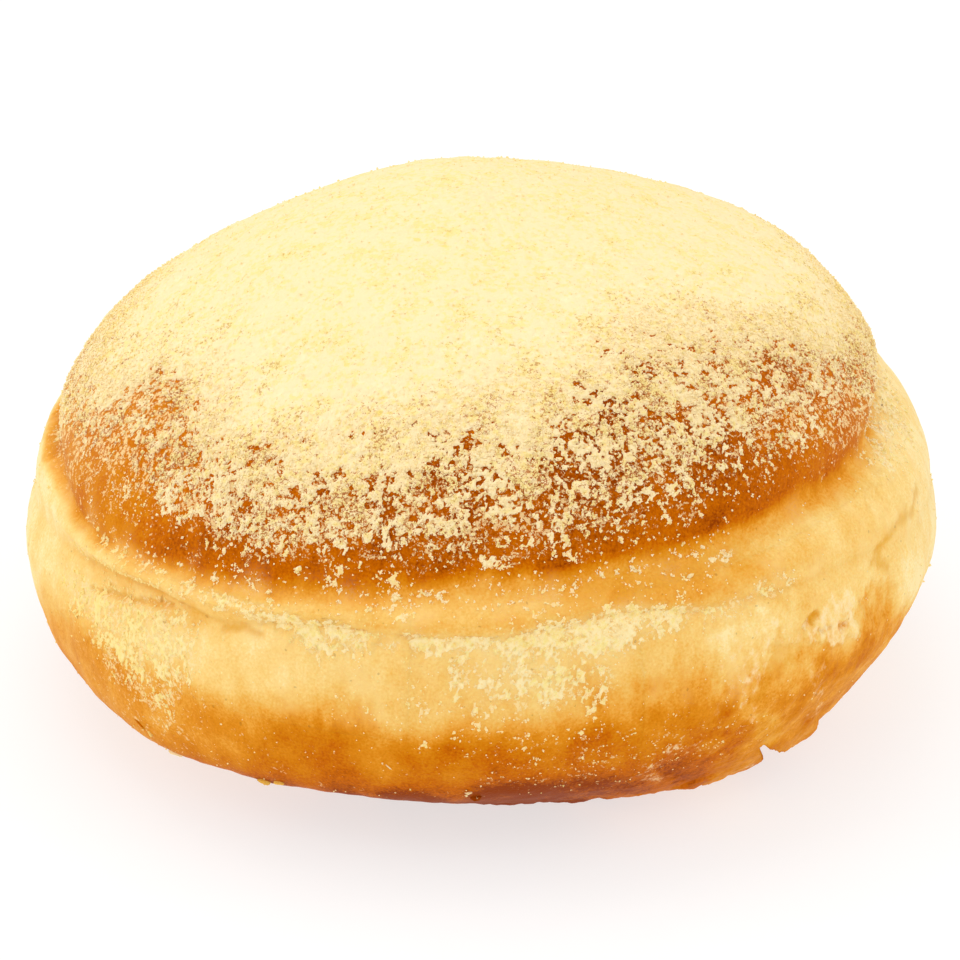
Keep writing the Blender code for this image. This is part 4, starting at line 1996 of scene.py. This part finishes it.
class GrainForm(Enum):
    """The rough forms that grains of powder are made in."""

    LUMP = "lump"
    SPECK = "speck"

    def corners(self) -> Array:
        """Shapes one grain of radius 1.

        Returns:
            Its corners: the six of a double pyramid, or the four of a thin chip.
        """
        if self is GrainForm.LUMP:
            return np.array([(1, 0, 0), (0, 1, 0), (-1, 0, 0), (0, -1, 0), (0, 0, 1), (0, 0, -1)], float)
        return np.array([(1.0, 0.0, 0.3), (-0.5, 0.87, 0.3), (-0.5, -0.87, 0.3), (0.0, 0.0, -0.9)])

    def faces(self) -> Array:
        """Joins the corners of one grain.

        Returns:
            Its three-sided faces, which point out.
        """
        if self is GrainForm.LUMP:
            around = [(side, (side + 1) % 4) for side in range(4)]
            return np.array([(a, b, 4) for a, b in around] + [(b, a, 5) for a, b in around])
        return np.array([(0, 1, 2), (1, 0, 3), (2, 1, 3), (0, 2, 3)])


@dataclass
class Grains:
    """Loose grains of powder of one form, scattered over the bun as one mesh.

    Most lie on the powder and round its ragged edge; slack says how far past the edge, as a share of
    cover. A few lie on the bare crust. Sizes are the smallest and the largest radius.
    """

    name: str
    sifting: Sifting
    form: GrainForm
    count: int
    slack: float
    sizes: Pair
    seed: int
    lowest: float = 17.0
    on_bare: float = 0.004
    on_thick: float = 0.02
    tumble: float = 0.3

    AT_ONCE = 150000
    TRACE = 0.01
    THICK_SHARES, CROWN_RUNS = (0.85, 1.1), (38.0, 42.0)
    THICK_ON_SIDE, SIDE_SHARES, SIDE_RUNS = 0.6, (0.3, 0.8), (39.0, 36.0)
    FEWER_ON_SIDE, FEWER_RUNS = 0.45, (40.0, 37.0)
    MOSTLY_SMALL = 1.7
    HIGHEST_REST = 0.7
    STRETCH, KNOBS = (0.7, 1.2), (0.8, 1.15)
    TINT, TINT_SPREAD = 0.45, 0.28
    MAP_SIZE, MAP_EDGE = 0.42, 0.08

    def scattered(self, random: np.random.Generator) -> Places:
        """Draws the grains' places, as many on each square millimetre of the bun wherever they may lie.

        Args:
            random: what the draws are made with.

        Returns:
            One place for each grain.
        """
        outline = self.sifting.dough.outline
        reach = outline.top - self.lowest
        found: list[Places] = []
        while sum(len(places.run) for places in found) < self.count:
            flat = random.uniform(-reach, reach, (self.AT_ONCE, 2))
            places = Places.on_flat_map(flat, outline.top)
            places = places.chosen(places.run > self.lowest)
            points = outline.points(places)
            shrunk = np.hypot(*points[:, :2].T) / np.maximum(outline.top - places.run, 1.0)
            share = self.sifting.share(places)
            powdered = share > self.TRACE
            inside = self.sifting.rank(points) < share + self.slack * powdered
            thick = ease(share, *self.THICK_SHARES) * ease(places.run, *self.CROWN_RUNS)
            on_side = self.THICK_ON_SIDE * ease(places.run, *self.SIDE_RUNS) * ease(share, *self.SIDE_SHARES)
            thick = np.maximum(thick, on_side)
            chance = np.where(inside, 1.0 - (1.0 - self.on_thick) * thick, self.on_bare)
            chance *= 1.0 - self.FEWER_ON_SIDE * ease(places.run, *self.FEWER_RUNS) * powdered
            found.append(places.chosen(random.random(len(share)) < chance * shrunk))
        run = np.concatenate([places.run for places in found])[: self.count]
        azimuth = np.concatenate([places.azimuth for places in found])[: self.count]
        return Places(run, azimuth)

    def on_map(self, shape: Array) -> Array:
        """Lays the grains on the bake map, each on a square of its own.

        Args:
            shape: the corners of one grain.

        Returns:
            The place on the map of every corner of every grain.
        """
        side = math.ceil(math.sqrt(self.count))
        cell = np.stack([np.arange(self.count) % side, np.arange(self.count) // side], axis=1)
        within = (shape[:, :2] + 1.0) * self.MAP_SIZE + self.MAP_EDGE
        return ((cell[:, None, :] + within[None]) / side).reshape(-1, 2)

    def build(self, material: Material) -> Piece:
        """Makes the grains.

        Args:
            material: the powder's material.

        Returns:
            The grains, as one piece.
        """
        random = np.random.default_rng(self.seed)
        places = self.scattered(random)
        height = self.sifting.height(places)
        dough = self.sifting.dough
        smallest, largest = self.sizes
        radius = smallest + (largest - smallest) * random.random(self.count) ** self.MOSTLY_SMALL
        bed = dough.relief(places, self.sifting.share(places)) + np.maximum(height, 0.0)
        centres = dough.skin(places, bed + radius * random.uniform(0.0, self.HIGHEST_REST, self.count))
        up = dough.outline.normals(places) + self.tumble * random.normal(size=(self.count, 3))
        side = np.cross(up, random.normal(size=(self.count, 3)))
        turns = np.stack([side, np.cross(up, side), up], axis=2)
        turns /= np.linalg.norm(turns, axis=1, keepdims=True)
        shape = self.form.corners()
        stretch = random.uniform(*self.STRETCH, (self.count, 1, 3)) * radius[:, None, None]
        body = shape[None] * stretch * random.uniform(*self.KNOBS, (self.count, len(shape), 1))
        points = centres[:, None, :] + np.einsum("nij,nkj->nki", turns, body)
        faces = self.form.faces()[None] + (np.arange(self.count) * len(shape))[:, None, None]
        faces = faces.reshape(-1, 3)
        tint = np.clip(random.normal(self.TINT, self.TINT_SPREAD, self.count) + height, 0.0, 1.0)
        painted = {
            "heap": np.repeat(tint, len(shape)),
            "hollow": np.zeros(self.count * len(shape)),
            "damp": np.repeat(self.sifting.damp(places), len(shape)),
            "open": np.zeros(self.count * len(shape)),
        }
        corners = self.on_map(shape)[faces.ravel()]
        sheet = Sheet(points.reshape(-1, 3), [faces], painted, corners, smooth=False)
        return sheet.build(self.name, material, Slot.POWDER)


# The studio --------------------------------------------------------------------------------


@dataclass(frozen=True)
class SoftBox:
    """A soft square lamp, aimed at the bun. Sizes are in metres.

    Its light is the share of a white wall's glow that it adds at the bun.
    """

    name: str
    azimuth: float
    elevation: float
    distance: float
    width: float
    light: float

    def build(self, centre: Vector) -> None:
        """Hangs the lamp.

        Args:
            centre: what it is aimed at.
        """
        turn, rise = math.radians(self.azimuth), math.radians(self.elevation)
        away = Vector((math.cos(turn) * math.cos(rise), math.sin(turn) * math.cos(rise), math.sin(rise)))
        data = bpy.data.lights.new(self.name, "AREA")
        data.shape = "SQUARE"
        data.size = self.width
        data.energy = self.light * math.pi**2 * self.distance**2
        lamp = bpy.data.objects.new(self.name, data)
        lamp.location = centre + away * self.distance
        lamp.rotation_euler = away.to_track_quat("Z", "Y").to_euler()
        bpy.context.scene.collection.objects.link(lamp)


@dataclass(frozen=True)
class Studio:
    """White floor, soft light and a camera at the photograph's angle."""

    elevation: float = 27.0
    distance: float = 480.0
    focal_pixels: float = 4832.0
    sensor: float = 36.0
    aim: tuple[float, float, float] = (-0.377, -0.831, 20.37)
    middle: float = 22.0
    floor_half: float = 2000.0
    floor_gap: float = 0.02
    sky: float = 0.72
    lamps: tuple[SoftBox, ...] = (
        SoftBox("top_lamp", azimuth=120.0, elevation=68.0, distance=0.7, width=0.6, light=0.26),
        SoftBox("left_lamp", azimuth=-175.0, elevation=30.0, distance=0.7, width=0.5, light=0.18),
        SoftBox("right_lamp", azimuth=-10.0, elevation=32.0, distance=0.7, width=0.5, light=0.15),
        SoftBox("front_lamp", azimuth=-95.0, elevation=42.0, distance=0.9, width=0.8, light=0.14),
    )

    def build(self, dough: Dough) -> None:
        """Sets the scene round the bun.

        Args:
            dough: the bun, whose outline's axis the camera is aimed from.
        """
        centre = Vector((0.0, 0.0, self.middle * MM))
        self.build_floor()
        for lamp in self.lamps:
            lamp.build(centre)
        world = bpy.data.worlds.new("studio")
        world.use_nodes = True
        background = world.node_tree.nodes["Background"]
        background.inputs["Color"].default_value = WHITE
        background.inputs["Strength"].default_value = self.sky
        bpy.context.scene.world = world
        bpy.context.scene.view_settings.view_transform = "Standard"
        self.build_camera(Vector((np.array(self.aim) + dough.shift) * MM))

    def build_floor(self) -> None:
        """Lays the floor, a hair below the bun's foot."""
        half = self.floor_half * MM
        mesh = bpy.data.meshes.new("floor")
        corners = [(-half, -half, 0.0), (half, -half, 0.0), (half, half, 0.0), (-half, half, 0.0)]
        mesh.from_pydata(corners, [], [(0, 1, 2, 3)])
        mesh.materials.append(FloorFinish().material())
        floor = bpy.data.objects.new("floor", mesh)
        floor.location.z = -self.floor_gap * MM
        bpy.context.scene.collection.objects.link(floor)

    def build_camera(self, aim: Vector) -> None:
        """Places the camera, looking along +Y and down.

        Args:
            aim: the point in the middle of its picture.
        """
        rise = math.radians(self.elevation)
        away = Vector((0.0, -math.cos(rise), math.sin(rise)))
        data = bpy.data.cameras.new("camera")
        data.sensor_width = self.sensor
        data.lens = self.focal_pixels / PHOTO_WIDTH * self.sensor
        camera = bpy.data.objects.new("camera", data)
        camera.location = aim + away * self.distance * MM
        camera.rotation_mode = "QUATERNION"
        camera.rotation_quaternion = away.to_track_quat("Z", "Y")
        bpy.context.scene.collection.objects.link(camera)
        bpy.context.scene.camera = camera


def report(piece: Piece) -> None:
    """Logs one finished piece.

    Args:
        piece: the piece.
    """
    mesh = piece.data
    triangles = len(mesh.loops) - 2 * len(mesh.polygons)
    LOG.info("%s: %d points, %d triangles", piece.name, len(mesh.vertices), triangles)


def main() -> None:
    """Builds the bun, its powder and the studio."""
    logging.basicConfig(level=logging.INFO, format="%(name)s: %(message)s")
    dough = Dough()
    sifting = Sifting(dough)
    crust = CrustFinish().material()
    report(dough.build(crust, sifting))
    for window in dough.windows:
        report(dough.build_window(window, crust, sifting))
    report(Crumbs(dough).build(crust))
    powder = PowderFinish().material()
    for layer in (
        PowderShell("powder_coat", sifting, spacing=0.225, shares=(0.90, 9.0), runs=(40.0, 99.0)),
        PowderShell("powder_fringe", sifting, spacing=0.17, shares=(0.01, 1.00), runs=(40.0, 99.0)),
        PowderShell("powder_drift", sifting, spacing=0.16, shares=(0.01, 9.0), runs=(19.0, 40.2)),
        Grains("powder_lumps", sifting, GrainForm.LUMP, 16000, slack=0.0, sizes=(0.10, 0.19), seed=71),
        Grains("powder_specks", sifting, GrainForm.SPECK, 49000, slack=0.05, sizes=(0.06, 0.15), seed=72),
    ):
        report(layer.build(powder))
    Studio().build(dough)


if __name__ == "__main__":
    main()
